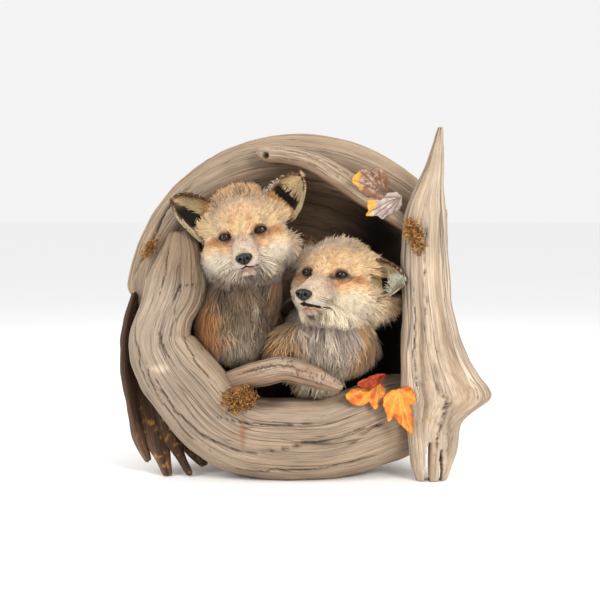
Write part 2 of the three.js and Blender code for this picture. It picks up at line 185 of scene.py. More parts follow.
def grid_faces(rows, columns):
    """Quads of a grid of rows of points, with the last column joined to the first."""
    i, j = np.meshgrid(np.arange(rows - 1), np.arange(columns), indexing="ij")
    k = (j + 1) % columns
    quads = [i * columns + j, i * columns + k, (i + 1) * columns + k, (i + 1) * columns + j]
    return np.stack([q.ravel() for q in quads], 1)


def stacked(x, y, z):
    """Points from their three coordinates, each an array or one number for all of them."""
    return np.stack(np.broadcast_arrays(x, y, z), 1).astype(float)


def every(colour, verts):
    """The same colour for each of the points."""
    return np.repeat(colour[None], len(verts), 0)


def joined(parts):
    """The points and faces of several meshes as one mesh."""
    starts = np.cumsum([0] + [len(verts) for verts, faces in parts[:-1]])
    faces = [faces + start for (verts, faces), start in zip(parts, starts)]
    return np.concatenate([verts for verts, faces in parts]), np.concatenate(faces)


# ---------------------------------------------------------------- materials
class Shader:
    """A small helper for building a node material round one Principled shader."""

    def __init__(self, name, **settings):
        self.material = bpy.data.materials.new(name)
        self.material.use_nodes = True
        self.tree = self.material.node_tree
        self.surface = self.tree.nodes["Principled BSDF"]
        for key, value in settings.items():
            self.surface.inputs[key.replace("_", " ")].default_value = value

    def node(self, kind, inputs=None, **settings):
        node = self.tree.nodes.new("ShaderNode" + kind)
        for key, value in settings.items():
            setattr(node, key, value)
        for key, value in (inputs or {}).items():
            if isinstance(value, bpy.types.NodeSocket):
                self.tree.links.new(value, node.inputs[key])
            else:
                node.inputs[key].default_value = value
        return node

    def noise(self, scale, detail, place=None, output="Fac", **inputs):
        """Noise at a place, or else at the object's own coordinates, in metres."""
        if place is None:
            place = self.node("TexCoord").outputs["Object"]
        inputs = {"Vector": place, "Scale": scale, "Detail": detail, **inputs}
        return self.node("TexNoise", inputs).outputs[output]

    def link(self, socket, name):
        self.tree.links.new(socket, self.surface.inputs[name])

    def tint(self):
        return self.node("Attribute", attribute_name="tint").outputs["Color"]

    def mix(self, factor, a, b, blend="MIX"):
        node = self.node("Mix", data_type="RGBA", blend_type=blend)
        for index, value in ((0, factor), (6, a), (7, b)):
            if isinstance(value, bpy.types.NodeSocket):
                self.tree.links.new(value, node.inputs[index])
            else:
                node.inputs[index].default_value = value
        return node.outputs[2]

    def ramp(self, factor, *stops):
        node = self.node("ValToRGB", {"Fac": factor})
        elements = node.color_ramp.elements
        while len(elements) < len(stops):
            elements.new(0.5)
        for element, (position, colour) in zip(elements, stops):
            element.position = position
            element.color = (*colour, 1) if len(colour) == 3 else colour
        return node.outputs["Color"]

    def bump(self, height, strength, distance):
        node = self.node("Bump", {"Height": height, "Strength": strength, "Distance": distance * MM})
        self.link(node.outputs["Normal"], "Normal")


def grey(value):
    return (value, value, value)


def mottled_material(name, scale, detail, low, high, relief, strength=1.0, **settings):
    """The tint of each point, made darker and lighter by fine noise, which may give it a little relief."""
    s = Shader(name, **settings)
    fine = s.noise(scale, detail)
    shade = s.ramp(fine, (0.3, grey(low)), (0.7, grey(high)))
    s.link(s.mix(strength, s.tint(), shade, "MULTIPLY"), "Base Color")
    if relief:
        s.bump(fine, relief, relief)
    return s.material


def coat_material():
    return mottled_material("coat", 900.0, 2.0, 0.78, 1.12, 0, Roughness=0.75, Sheen_Weight=0.25,
                            Sheen_Roughness=0.5, Specular_IOR_Level=0.25)


def skin_material():
    return mottled_material("skin", 700.0, 4.0, 0.7, 1.0, 0.6, Roughness=0.8, Specular_IOR_Level=0.2)


def leaf_material(name):
    return mottled_material(name, 500.0, 5.0, 0.8, 1.15, 0.5, Roughness=0.6, Specular_IOR_Level=0.35)


def eye_material(name):
    return mottled_material(name, 1500.0, 2.0, 0.5, 1.3, 0, 0.5, Roughness=0.05, Specular_IOR_Level=0.5)


def wet_nose_material():
    s = Shader("nose_leather", Roughness=0.32, Specular_IOR_Level=0.5)
    place = s.node("TexCoord").outputs["Object"]
    cells = s.node("TexVoronoi", {"Vector": place, "Scale": 1300.0}).outputs["Distance"]
    s.link(s.ramp(cells, (0.0, grey(0.022)), (0.6, grey(0.007))), "Base Color")
    s.bump(cells, 0.5, 0.25)
    return s.material


def plain_material(name, colour, roughness):
    s = Shader(name, Roughness=roughness)
    s.link(s.ramp(s.noise(60.0, 5.0), (0.3, colour * 0.8), (0.7, colour * 1.15)), "Base Color")
    return s.material


# ---------------------------------------------------------------- wood
# Stations of each limb: x, y, z of its middle, half its width, half its depth.
RING_LOG = [
    (-166, -16, 318, 20, 18), (-165, -18, 295, 26, 26), (-168, -22, 269, 34, 32), (-172, -28, 243, 39, 36),
    (-184, -32, 212, 35, 38), (-191, -36, 178, 40, 40), (-178, -40, 147, 46, 43), (-153, -43, 116, 49, 45),
    (-119, -44, 77, 49, 46), (-79, -44, 55, 49, 47), (-30, -44, 49.5, 51, 48), (23, -40, 50, 51, 48),
    (70, -28, 60, 54, 46), (118, -10, 74, 58, 42), (150, 4, 80, 52, 36),
]
POST = [
    (170, -54, 452, 4, 4), (166, -56, 424, 9, 8), (159, -59, 388, 15, 13), (151, -62, 353, 24, 20),
    (149, -65, 309, 29, 26), (152, -66, 245, 31, 27), (157, -67, 200, 35, 27), (161, -67, 168, 41, 27),
    (170, -67, 137, 50, 25), (177, -67, 118, 57, 23), (178, -67, 105, 56, 23), (169, -67, 88, 43, 23),
    (163, -66, 72, 35, 23), (162, -66, 48, 31, 22), (161, -65, 20, 27, 19), (161, -64, -4, 22, 15),
]
UPPER_BRANCH = [
    (-64, -12, 424, 8, 6), (-51, -15, 420, 12, 9), (-28, -19, 418, 13, 9), (4, -24, 410, 14, 9),
    (37, -29, 392, 16, 10), (63, -34, 374, 16, 10), (88, -42, 356, 15, 10), (114, -46, 338, 13, 10),
    (136, -48, 322, 10, 8),
]
FRONT_BRANCH = [
    (-112, -38, 121, 15, 12), (-79, -62, 133, 16, 13), (-53, -74, 141, 16, 13), (-28, -80, 146, 15, 13),
    (-2, -82, 140, 14, 12), (23, -82, 130, 10, 9), (42, -80, 121, 5, 5),
]
SPLINTERS = {
    "splinter_outer": [
        (-229, 12, 236, 5, 14), (-239, 8, 187, 8, 22), (-240, 2, 144, 8, 24), (-233, -8, 95, 8, 20),
        (-222, -20, 50, 7, 14), (-208, -30, 19, 3, 5),
    ],
    "splinter_plate": [
        (-216, 8, 156, 12, 7), (-214, 2, 112, 17, 8), (-204, -12, 72, 17, 8), (-194, -28, 36, 13, 7),
        (-181, -42, -3, 4, 4),
    ],
    "splinter_third": [
        (-196, -8, 90, 8, 8), (-185, -20, 62, 10, 9), (-170, -34, 34, 9, 9), (-153, -46, 3, 4, 5),
    ],
    "splinter_fourth": [
        (-178, 4, 76, 9, 9), (-166, -4, 50, 11, 10), (-151, -14, 29, 11, 9), (-134, -22, 11, 7, 6),
    ],
}
# The hollow shell of a trunk, turned about an axis: distance from the axis, and y.
SHELL_PROFILE = [
    (0, 98), (85, 93), (130, 76), (154, 48), (166, 22),  # inside
    (184, 5), (205, 0), (222, 4), (231, 16), (233, 30),  # lip
    (231, 62), (210, 94), (160, 118), (80, 128), (0, 129),  # outside
]
SHELL_AXIS = (-10, 215)
SHELL_RADIUS = 233
SHELL_RIGHT = 193  # broken off flat past this, behind the post
SHELL_LOWER = 218
SHELL_DEPTH = 129
POST_CLEFTS = [(154, 7, 52), (171, 4, 44)]  # in its foot: x, width, height
SOFT_FOLD = 6  # a groove this wide is a fold of the wood, and a narrower one is a crack
GRAIN_STRETCH = 0.05  # the grain's noise is this much slower along the grain than across it


def station(rows, t):
    """The row at each t from 0 to 1 along a table of stations, by a uniform Catmull-Rom spline."""
    rows = np.asarray(rows, float)
    x = np.clip(t, 0, 1) * (len(rows) - 1)
    i = np.minimum(x.astype(int), len(rows) - 2)
    f = (x - i)[..., None]
    a, b, c, d = (rows[np.clip(i + k, 0, len(rows) - 1)] for k in (-1, 0, 1, 2))
    return b + 0.5 * f * (c - a + f * (2 * a - 5 * b + 4 * c - d + f * (3 * (b - c) + d - a)))


def flattened(wave, power=0.8):
    return np.sign(wave) * np.abs(wave) ** power


def limb(rows, level=False):
    """A surface for Sheet: t runs along the limb, and a is the angle round it."""
    rows = np.asarray(rows, float)
    length = np.linalg.norm(np.diff(rows[:, :3], axis=0), axis=1).sum()
    mean = rows[:, 3:].mean()

    def surface(t, a):
        row = station(rows, t)
        course = (station(rows, t + 0.01) - station(rows, t - 0.01))[..., :3]
        tangent = unit(course * 0 + vec(0, 0, -1) if level else course)
        across = unit(np.cross(tangent, vec(0, -1, 0)))
        outward = np.cross(across, tangent)
        end = (1 - np.abs(2 * t - 1) ** 7) ** (1 / 7)
        u, v = flattened(np.cos(a)), flattened(np.sin(a))
        point = row[..., :3] + across * (u * row[..., 3] * end)[..., None]
        point += outward * (v * row[..., 4] * end)[..., None]
        grain = np.stack([t * length * GRAIN_STRETCH, u * mean * 1.1, v * mean * 1.1], -1)
        return point, grain

    return surface, length, mean


def shell_surface(t, a):
    """t is the turn about the axis, from the bottom, and a runs along the profile."""
    angle = 2 * math.pi * t - math.pi / 2
    profile = station(SHELL_PROFILE, a)
    r, depth = np.maximum(profile[..., 0], 0), profile[..., 1]
    c, s = np.cos(angle), np.sin(angle)
    upper = SHELL_LOWER + (SHELL_RADIUS - SHELL_LOWER) * smoothstep(s, 0, 0.14)
    reach = np.minimum(SHELL_RIGHT / np.maximum(c, 0.01), upper) / SHELL_RADIUS
    forward = 46 * smoothstep(r * c / SHELL_RADIUS, 0.45, 0.85) * smoothstep(r, 120, 190)
    y = depth - forward * (1 - depth / SHELL_DEPTH)
    point = np.stack([r * c * reach + SHELL_AXIS[0], y, r * s * reach + SHELL_AXIS[1]], -1)
    turn = 190 * GRAIN_STRETCH
    across = a * 560 - 0.1 * r * np.cos(2 * angle + 0.6)  # the rings of the trunk aren't quite round
    return point, np.stack([turn * c, turn * s, across], -1)


class Sheet:
    """A grid of points on a surface of wood, roughened and cracked along its grain."""

    def __init__(self, surface, t, a, closed_rows=False):
        self.surface = surface
        self.closed_rows = closed_rows
        self.rows, self.columns = len(t), len(a)
        self.t, self.a = np.meshgrid(t, a, indexing="ij")
        self.step = a[1] - a[0]
        self.push = np.zeros(self.t.shape)
        # Painted shade of the cracks and grooves, and the dark colour of knots.
        self.dark = np.zeros(self.t.shape)
        self.base, self.grain = surface(self.t, self.a)
        self.clefts = []
        self.sign = 1
        outward = np.einsum("ijk,ijk->", self.normals(self.base), self.base - self.base.mean((0, 1)))
        self.sign = 1 if outward > 0 else -1
        self.out = self.normals(self.base)

    def normals(self, p):
        if self.closed_rows:
            ahead = np.roll(p, -1, 0) - np.roll(p, 1, 0)
            beside = np.gradient(p, axis=1)
        else:
            ahead = np.gradient(p, axis=0)
            beside = np.roll(p, -1, 1) - np.roll(p, 1, 1)
        return unit(np.cross(beside, ahead)) * self.sign

    def place(self, x, z):
        """The row and column of the point that is seen at x, z from the front."""
        away = np.hypot(self.base[..., 0] - x, self.base[..., 2] - z)
        away = away + np.where(self.out[..., 1] < -0.1, 0, 1e4)
        return np.unravel_index(np.argmin(away), away.shape)

    def crack(self, line, width, depth, seed=0, tone=1.0):
        """A groove through points seen from the front at x and z; a negative depth makes a ridge, and tone is
        how strongly the groove is darkened as painted shade.
        """
        sharp = width < SOFT_FOLD
        spots = sorted((self.t[r, 0], self.a[0, c]) for r, c in (self.place(x, z) for x, z in line))
        ts, angles = np.array(spots).T
        for r in np.where((self.t[:, 0] >= ts[0]) & (self.t[:, 0] <= ts[-1]))[0]:
            t = self.t[r, 0]
            taper = math.sin(math.pi * (t - ts[0]) / (ts[-1] - ts[0])) ** 0.5
            angle = np.interp(t, ts, angles)
            c = int(round((angle - self.a[0, 0]) / self.step))
            middle = c % self.columns
            beside = self.base[r, (middle + 1) % self.columns]
            span = np.linalg.norm(beside - self.base[r, middle]) / self.step
            reach = max(4, min(14, int(width / 2 / (span * self.step)) + 1))
            around = [(c + k) % self.columns for k in range(-reach, reach + 1)]
            wobble = noise(vec(t * 60, seed, 0)[None], 5)[0] + 0.4 * noise(vec(t * 300, seed, 0)[None], 6)[0]
            angle += 1.2 * wobble / span
            if sharp:
                self.a[r, middle] = angle
            away = np.abs((np.arange(-reach, reach + 1) + c) * self.step + self.a[0, 0] - angle) * span
            open_by = np.clip(1 - away / (width / 2 * taper + 0.3), 0, 1) ** (0.7 if sharp else 1.4)
            self.push[r, around] -= depth * taper * open_by
            # Painted shade: the groove is darkened by its tone, where shade would fall in it.
            shade = tone * open_by * min(1.0, 0.35 + taper)
            self.dark[r, around] = np.maximum(self.dark[r, around], shade)

    def knot(self, x, z, radius, bulge, hole):
        """A dark knot on a low bulge, with a hole where that has a depth."""
        r, c = self.place(x, z)
        away = np.linalg.norm(self.base - self.base[r, c], axis=-1) / radius
        self.push += bulge * np.exp(-((away / 2) ** 2)) - hole * smoothstep(away, 0.9, 0.5)
        # A knot is darkened as its own colour; over a hole it is darkened more, as painted shade in the hole.
        self.dark = np.maximum(self.dark, smoothstep(away, 1.0, 0.6) * (0.95 if hole > 2 else 0.75))

    def by_column(self, values):
        """The values of the points in the order of a grid whose rows and columns are swapped."""
        return values.reshape(self.rows, self.columns, -1).transpose(1, 0, 2).reshape(len(values), -1)

    def split_foot(self, verts, faces, middle):
        """Opens the clefts between the prongs of a foot; their points go to the depth of the middle."""
        for x, width, height in self.clefts:
            ragged = height + 6 * noise(verts / 3, 3)
            open_to = width / 2 * np.clip(1.3 - verts[:, 2] / height, 0.3, 1)
            away = np.abs(verts[:, 0] - x + 2 * noise(verts * vec(0, 0, 0.06), 4))
            within = (away < open_to) & (verts[:, 2] < ragged)
            verts[within, 1] = middle
            faces = faces[~within[faces].all(1)]
        return faces

    def finish(self, node, material, slot, colours, relief, seed):
        """Roughens, colours and makes the piece that replaces a node."""
        base, grain = self.surface(self.t, self.a)
        g = grain.reshape(-1, 3)
        ridges = noise(g / 17, seed) * 1.7 + noise(g / 7, seed + 1) * 0.8 + noise(g / 2.6, seed + 2) * 0.3
        lumps = layered_noise(base.reshape(-1, 3) / 38, seed + 3, 2) * 1.3
        self.push += (relief * (ridges + lumps)).reshape(self.t.shape)
        verts = (base + self.normals(base) * self.push[..., None]).reshape(-1, 3)
        tint = colours(base.reshape(-1, 3), g)
        # Painted light and shade: the tint is lighter on the raised ridges and darker in their valleys, and
        # darkened where the cracks and grooves carry painted shade.
        ridge_light_valley_shade = np.clip(1 + 0.10 * ridges, 0.7, 1.15)[:, None]
        tint = tint * ridge_light_valley_shade * (1 - 0.9 * self.dark.reshape(-1, 1))
        if self.closed_rows:
            faces = grid_faces(self.columns, self.rows)
            verts, tint, g = self.by_column(verts), self.by_column(tint), self.by_column(g)
        else:
            faces = grid_faces(self.rows, self.columns)
        if enclosed_volume(verts, faces) < 0:
            faces = faces[:, ::-1]
        verts[:, 2] = np.maximum(verts[:, 2], 0)
        faces = self.split_foot(verts, faces, base[..., 1].mean())
        tint = np.clip(tint, 0.002, 1)
        piece = make_piece(node + "_wood", verts, faces, material, tint, slot=slot, grain=g)
        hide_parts(node)


def enclosed_volume(verts, faces):
    """Six times the volume inside quads, negative where they face inwards."""
    a, b, c, d = (verts[faces[:, k]] for k in range(4))
    return np.einsum("ij,ij->", a, np.cross(b, c) + np.cross(c, d))


def even_steps(length, mean, spacing):
    """Places along a limb and angles round it; the ends are closer together for their round shape."""
    spacing = spacing * 1
    end = 0.03 * np.linspace(0, 1, 9) ** 2.2
    middle = np.linspace(0.03, 0.97, int(length * 0.94 / (spacing * 1.25)))[1:-1]
    count = int(2 * math.pi * mean / spacing)
    angles = -math.pi / 2 + np.arange(count) * 2 * math.pi / count
    return np.concatenate([end, middle, 1 - end[::-1]]), angles


SHELL_SPACING = 1.0
CRUMBS = 34  # small lumps of rotten wood on the front branch
# Fine cracks of the material: scale, width, and the noise at which they start and are widest.
WOOD_CRACKS = [(0.07, 0.045, 0.42, 0.66), (0.19, 0.06, 0.48, 0.7)]
GREY_WOOD = linear(152, 134, 116)
WARM_WOOD = linear(171, 147, 121)
PALE_WOOD = linear(206, 186, 163)
# The brown below is both a wood colour and painted shade, low on the ring and inside the shell's hollow; the
# darker colour after it is only painted shade.
BROWN_WOOD_AND_SHADE = linear(122, 98, 76)
PAINTED_WOOD_SHADE = linear(84, 64, 50)
STAIN = linear(150, 96, 66)


def mixed(a, b, weight):
    """Colour b laid over colour a, with a weight for each point."""
    return a + np.asarray(weight)[:, None] * (b - a)


def woody(p, g, main, other, seed):
    """Two colours in soft streaks along the grain, with weathered patches across it."""
    streaks = layered_noise(g / 11, seed, 4)
    colour = mixed(main, other, smoothstep(streaks, -0.9, 1.1))
    patches = layered_noise(p / 45, seed + 9, 3)
    return colour * (1 + 0.12 * patches)[:, None]


def near(p, x, z, wide, high):
    """1 at a place seen from the front, falling to 0 at the edge of an oval round it."""
    return smoothstep(np.hypot((p[:, 0] - x) / wide, (p[:, 2] - z) / high), 1, 0.3) * (p[:, 1] < 20)


def ring_colours(p, g):
    colour = woody(p, g, GREY_WOOD, WARM_WOOD, 71)
    colour = mixed(colour, PALE_WOOD, 0.2 * near(p, -190, 190, 60, 90))
    colour = mixed(colour, BROWN_WOOD_AND_SHADE, 0.65 * near(p, -165, 300, 46, 70))
    # Painted shade: the ring is darker towards its bottom, near the floor.
    colour = mixed(colour, BROWN_WOOD_AND_SHADE, 0.35 * smoothstep(p[:, 2], 40, 0))
    colour = mixed(colour, STAIN, 0.6 * near(p, -81, 66, 6, 30))
    colour = mixed(colour, PALE_WOOD, 0.8 * near(p, -186, 146, 16, 7))
    # Painted shade along the top of the lower ring, under the front branch and the chests above it.
    return mixed(colour, PAINTED_WOOD_SHADE, 0.7 * near(p, -60, 100, 50, 12))


def post_colours(p, g):
    colour = woody(p, g, PALE_WOOD, WARM_WOOD, 81)
    colour = mixed(colour, GREY_WOOD * 0.9, 0.6 * near(p, 128, 290, 14, 90))
    colour = mixed(colour, WARM_WOOD, 0.4 * near(p, 205, 105, 60, 30))
    lichen = near(p, 157, 83, 7, 6) * smoothstep(noise(p / 2, 35), -0.3, 0.3)
    return mixed(colour, linear(196, 160, 74), 0.8 * lichen)


def shell_colours(p, g):
    colour = woody(p, g, GREY_WOOD * 1.05, WARM_WOOD * 1.15, 91)
    away = np.hypot(p[:, 0] - SHELL_AXIS[0], p[:, 2] - SHELL_AXIS[1])
    colour = mixed(colour, WARM_WOOD * 1.1, 0.7 * smoothstep(away, 205, 232))
    # Painted shade of the hollow: the inner wall darkens inwards from the lip and down into the bowl, and
    # goes nearly black towards the right and lower down.
    colour = mixed(colour, BROWN_WOOD_AND_SHADE * 1.1, 0.7 * smoothstep(away, 214, 190))
    inside = smoothstep(away, 196, 158) * (p[:, 1] < 104)
    colour = mixed(colour, BROWN_WOOD_AND_SHADE * 1.15, 0.85 * inside)
    return mixed(colour, PAINTED_WOOD_SHADE * 0.25, inside * smoothstep(p[:, 0] - 0.5 * (p[:, 2] - 330), 10, 110))


def branch_colours(p, g):
    colour = woody(p, g, GREY_WOOD, WARM_WOOD * 1.15, 31)
    # Painted shade: the underside of the branch is darker brown.
    low = smoothstep(g[:, 1] + 4 * noise(g / 3, 77), 2, 9)
    colour = mixed(colour, linear(122, 92, 70), 0.7 * low)
    reddish = np.clip(near(p, -60, 135, 80, 40) + near(p, 20, 135, 60, 40), 0, 1)
    return mixed(colour, linear(158, 124, 98), 0.5 * reddish * smoothstep(noise(p / 9, 33), -0.4, 0.5))


def rotten_colours(p, g):
    colour = woody(p, g, linear(136, 106, 82), linear(66, 44, 30), 21)
    inner = smoothstep(p[:, 0], -232, -214)
    return mixed(colour, linear(178, 126, 60), inner * smoothstep(layered_noise(p / 6, 23), 0.2, 0.9) * 0.8)


def wood_material(name):
    """Streaks and fine cracks that follow the grain, the cracks darkened as painted shade; the tint carries
    the colour.
    """
    s = Shader(name, Roughness=0.8, Specular_IOR_Level=0.3)
    grain = s.node("Attribute", attribute_name="grain").outputs["Vector"]
    streak = s.noise(0.3, 9.0, grain, Roughness=0.78)
    broad = s.ramp(streak, (0.33, grey(0.66)), (0.5, grey(0.95)), (0.66, grey(1.14)))
    fibres = s.noise(0.85, 5.0, grain, Roughness=0.6)
    fibres = s.ramp(fibres, (0.36, grey(0.74)), (0.5, grey(1.0)), (0.64, grey(1.14)))
    broad = s.mix(1.0, broad, fibres, "MULTIPLY")
    bent = s.noise(0.09, 3.0, grain, "Color")
    for operation, value in (("MULTIPLY", (9.0, 9.0, 9.0)), ("ADD", grain), ("MULTIPLY", (0.45, 1.0, 1.0))):
        bent = s.node("VectorMath", {0: bent, 1: value}, operation=operation).outputs[0]
    where = s.noise(0.05, 3.0, grain)
    shade = None
    height = streak
    for scale, widest, low, high in WOOD_CRACKS:
        edge = s.node("TexVoronoi", {"Vector": bent, "Scale": scale}, feature="DISTANCE_TO_EDGE")
        wide = s.node("MapRange", {0: where, 1: low, 2: high, 3: 0.001, 4: widest}).outputs[0]
        cut = {0: edge.outputs["Distance"], 1: wide}
        cut = s.node("Math", cut, operation="DIVIDE", use_clamp=True).outputs[0]
        height = s.node("Math", {0: height, 1: cut}, operation="MULTIPLY").outputs[0]
        # Painted shade: each fine crack is darkened, where shade would fall in it.
        dark = s.ramp(cut, (0.0, grey(0.34)), (0.9, grey(1.0)))
        shade = dark if shade is None else s.mix(1.0, shade, dark, "MULTIPLY")
    colour = s.mix(1.0, s.tint(), broad, "MULTIPLY")
    s.link(s.mix(1.0, colour, shade, "MULTIPLY"), "Base Color")
    s.bump(height, 0.9, 1.4)
    return s.material


def limb_sheet(rows, spacing, level=False, longer=1.0):
    """A sheet over a limb, with points a spacing apart; longer adds rows for a limb that bends much."""
    surface, length, mean = limb(rows, level)
    return Sheet(surface, *even_steps(length * longer, mean, spacing))


def make_ring_log(look):
    ring = limb_sheet(RING_LOG, 2.0)
    ring.crack([(-219, 202), (-215, 170), (-199, 119)], 3, 3)
    ring.crack([(-195, 143), (-185, 118), (-166, 92), (-135, 63), (-85, 40), (-53, 40)], 3.4, 5, 1)
    ring.crack([(-60, 41), (4, 53), (67, 69), (118, 72)], 3.4, 5, 2)
    ring.crack([(-189, 201), (-181, 176), (-171, 150)], 2.4, 3, 3)
    ring.crack([(-156, 189), (-150, 170), (-135, 147), (-116, 126)], 2.6, 3.5, 4)
    ring.crack([(-136, 253), (-148, 260), (-161, 250), (-170, 230)], 3, 4, 5)
    ring.crack([(-178, 300), (-182, 270), (-190, 235)], 2.4, 3, 6)
    ring.crack([(-205, 160), (-190, 110), (-160, 74), (-120, 40)], 2.2, 3, 7)
    ring.crack([(-120, 90), (-80, 78), (-30, 76), (20, 78)], 2, 2.5, 8)
    ring.crack([(-100, 20), (-40, 16), (30, 22), (90, 34)], 2.4, 3, 9)
    ring.knot(-215, 249, 6, 2, 6)
    ring.finish("ring_log", look, "driftwood", ring_colours, 1.35, 5)


def make_post(look):
    post = limb_sheet(POST, 1.6, level=True, longer=1.35)
    spine = [(165, 425), (158, 380), (153, 330), (154, 260), (160, 200), (176, 150), (218, 114)]
    # A groove's tone, its fifth number where given, is how strongly it is darkened as painted shade; the
    # spine is a ridge and is not darkened.
    post.crack(spine, 16, -6, 1, 0)
    post.crack([(146, 345), (140, 280), (143, 200), (146, 120), (147, 60)], 12, 5, 2, 0.35)
    post.crack([(168, 345), (167, 260), (176, 190), (196, 146)], 12, 5, 3, 0.35)
    post.crack([(158, 175), (165, 120), (172, 60)], 14, 6, 4, 0.45)
    post.crack([(184, 105), (182, 60), (179, 30)], 12, 5, 5, 0.35)
    post.crack([(172, 112), (168, 70), (163, 35)], 3, 5, 6)
    post.crack([(150, 330), (147, 270), (149, 215)], 2.2, 3, 7)
    post.crack([(133, 250), (134, 190), (139, 120)], 2.2, 3, 8)
    post.clefts = POST_CLEFTS
    post.finish("post", look, "driftwood", post_colours, 1.4, 15)


def make_upper_branch(look):
    branch = limb_sheet(UPPER_BRANCH, 1.5)
    branch.knot(-52, 418, 5, 2, 7)
    branch.crack([(-40, 427), (0, 419), (40, 402), (84, 368)], 1.6, 2, 1, 0.8)
    branch.crack([(-30, 414), (10, 404), (50, 382)], 1.4, 1.5, 2, 0.6)
    branch.finish("upper_branch", look, "driftwood", branch_colours, 1.2, 25)


def make_front_branch(look):
    branch = limb_sheet(FRONT_BRANCH, 1.5)
    branch.crack([(-88, 138), (-50, 150), (-10, 146)], 3, 4, 3)
    crumbs = np.random.default_rng(7)
    for _ in range(CRUMBS):
        x = crumbs.uniform(-30, 46)
        branch.knot(x, 142 - 0.35 * x + crumbs.normal(0, 5), crumbs.uniform(1, 2.2), 1.2, 0)
    branch.finish("front_branch", look, "driftwood", branch_colours, 1.2, 35)


def make_trunk_shell(look):
    rows, columns = (int(length / SHELL_SPACING) for length in (400, 170))
    shell = Sheet(shell_surface, np.arange(rows) / rows, np.linspace(0, 1, columns), closed_rows=True)
    shell.crack([(-150, 378), (-181, 354), (-208, 294), (-231, 261)], 4, 5)
    shell.finish("trunk_shell", look, "driftwood", shell_colours, 1.1, 45)


def make_splinters(look):
    for index, (name, rows) in enumerate(SPLINTERS.items()):
        limb_sheet(rows, 1.3).finish(name, look, "rotten_wood", rotten_colours, 1.7, 55 + 7 * index)


def make_wood():
    drift = wood_material("driftwood")
    rotten = wood_material("rotten_wood")
    for make in (make_ring_log, make_post, make_upper_branch, make_front_branch, make_trunk_shell):
        make(drift)
    make_splinters(rotten)


# ---------------------------------------------------------------- leaves and moss
# Outlines are seen from the front, in millimetres from the leaf's middle; the veins run to the tips.
LEAVES = {
    "leaf_top_back": dict(
        at=(84, -57, 383), tip=14, turn=-12, curl=5, look="brown",
        outline=[(-24, 3), (-18, 12), (-11, 15), (-2, 15), (4, 18), (12, 15), (19, 8), (22, 1), (19, -7),
                 (18, -18), (11, -25), (3, -24), (-5, -20), (-13, -14), (-18, -6)],
        stem=(14, -18), tips=[(-22, 3), (-14, 13), (-2, 14), (8, 15), (19, 6)],
    ),
    "leaf_top_front": dict(
        at=(101, -64, 354), tip=18, turn=10, curl=4, look="grey",
        outline=[(-23, 7), (-14, 6), (-6, 6), (1, 13), (11, 15), (16, 12), (18, 4), (17, -2), (11, -9),
                 (3, -14), (-4, -19), (-9, -15), (-16, -14), (-26, -13), (-23, -6), (-25, 2)],
        stem=(16, 10), tips=[(-24, 6), (-25, -12), (-14, -14), (-4, -18), (10, -9)],
    ),
    "leaf_low_left": dict(
        at=(76, -68, 109), tip=-30, turn=8, curl=3, look="autumn",
        outline=[(-27, -2), (-21, 5), (-14, 9), (-3, 10), (7, 11), (18, 15), (24, 3), (17, -6), (11, -16),
                 (7, -13), (6, -2), (1, -8), (-9, -11), (-19, -9)],
        stem=(18, 14), tips=[(-26, -2), (-10, -10), (10, -15), (20, 2)],
    ),
    "leaf_low_right": dict(
        at=(118, -85, 103), tip=-12, turn=-25, curl=4, look="autumn",
        outline=[(-1, 18), (8, 21), (15, 16), (20, 7), (18, 0), (5, 1), (13, -4), (15, -14), (18, -21),
                 (17, -36), (7, -30), (-2, -23), (-7, -14), (-7, -5), (-11, -24), (-15, -16), (-18, -4),
                 (-18, 5), (-12, 13)],
        stem=(-2, 17), tips=[(19, 6), (17, -34), (7, -28), (-11, -22), (-17, 0)],
    ),
    "leaf_low_red": dict(
        at=(77, -62, 127), tip=-50, turn=-10, curl=2, look="red",
        outline=[(-11, -3), (-3, 3), (9, 8), (21, 9), (23, 5), (16, -3), (6, -8), (-3, -7)],
        stem=(20, 8), tips=[(-10, -3), (2, -7), (12, -4)],
    ),
}
MOSS = {
    "moss_post": dict(at=(137, -88, 312), radii=(12, 8, 27), lean=-25, strands=760),
    "moss_ring": dict(at=(-88, -84, 106), radii=(26, 8, 17), lean=-20, strands=700),
    "moss_shell": dict(at=(-206, -2, 298), radii=(9, 6, 20), lean=35, strands=160),
}
LEAF_THICK = 0.7
LEAF_RINGS, LEAF_AROUND = 22, 220
LEAF_TEETH = 14
LEAF_LOOKS = {  # main colour, other colour, and the shades at which the other starts and is full
    "brown": (linear(138, 98, 74), linear(188, 160, 138), -0.3, 0.6),
    "grey": (linear(168, 150, 140), linear(196, 182, 172), -0.3, 0.6),
    "red": (linear(142, 40, 26), linear(178, 74, 40), -0.3, 0.8),
    "autumn": (linear(228, 138, 44), linear(198, 92, 34), -0.2, 0.9),
}
FADED = ("brown", "grey")
DARK_MOSS = linear(104, 62, 30)
PALE_MOSS = linear(216, 160, 82)
STRAND = np.array([0.3, 0.5, 0.52, 0.5, 0.46, 0.4, 0.3, 0.12])  # radii along a strand of moss


def smooth_loop(points, count):
    """A closed curve through points, by a Catmull-Rom spline."""
    points = np.asarray(points, float)
    x = np.arange(count) * len(points) / count
    i = x.astype(int)
    f = (x - i)[:, None]
    a, b, c, d = (points[(i + k) % len(points)] for k in (-1, 0, 1, 2))
    return b + 0.5 * f * (c - a + f * (2 * a - 5 * b + 4 * c - d + f * (3 * (b - c) + d - a)))


def vein_distance(p, stem, tips):
    """Distance to the nearest of the veins, which run from the stem to the tips."""
    best = np.full(len(p), 99.0)
    stem = np.asarray(stem, float)
    for tip in tips:
        v = np.asarray(tip, float) - stem
        t = np.clip((p - stem) @ v / (v @ v), 0, 1)
        best = np.minimum(best, np.linalg.norm(p - stem - t[:, None] * v, axis=1))
    return best


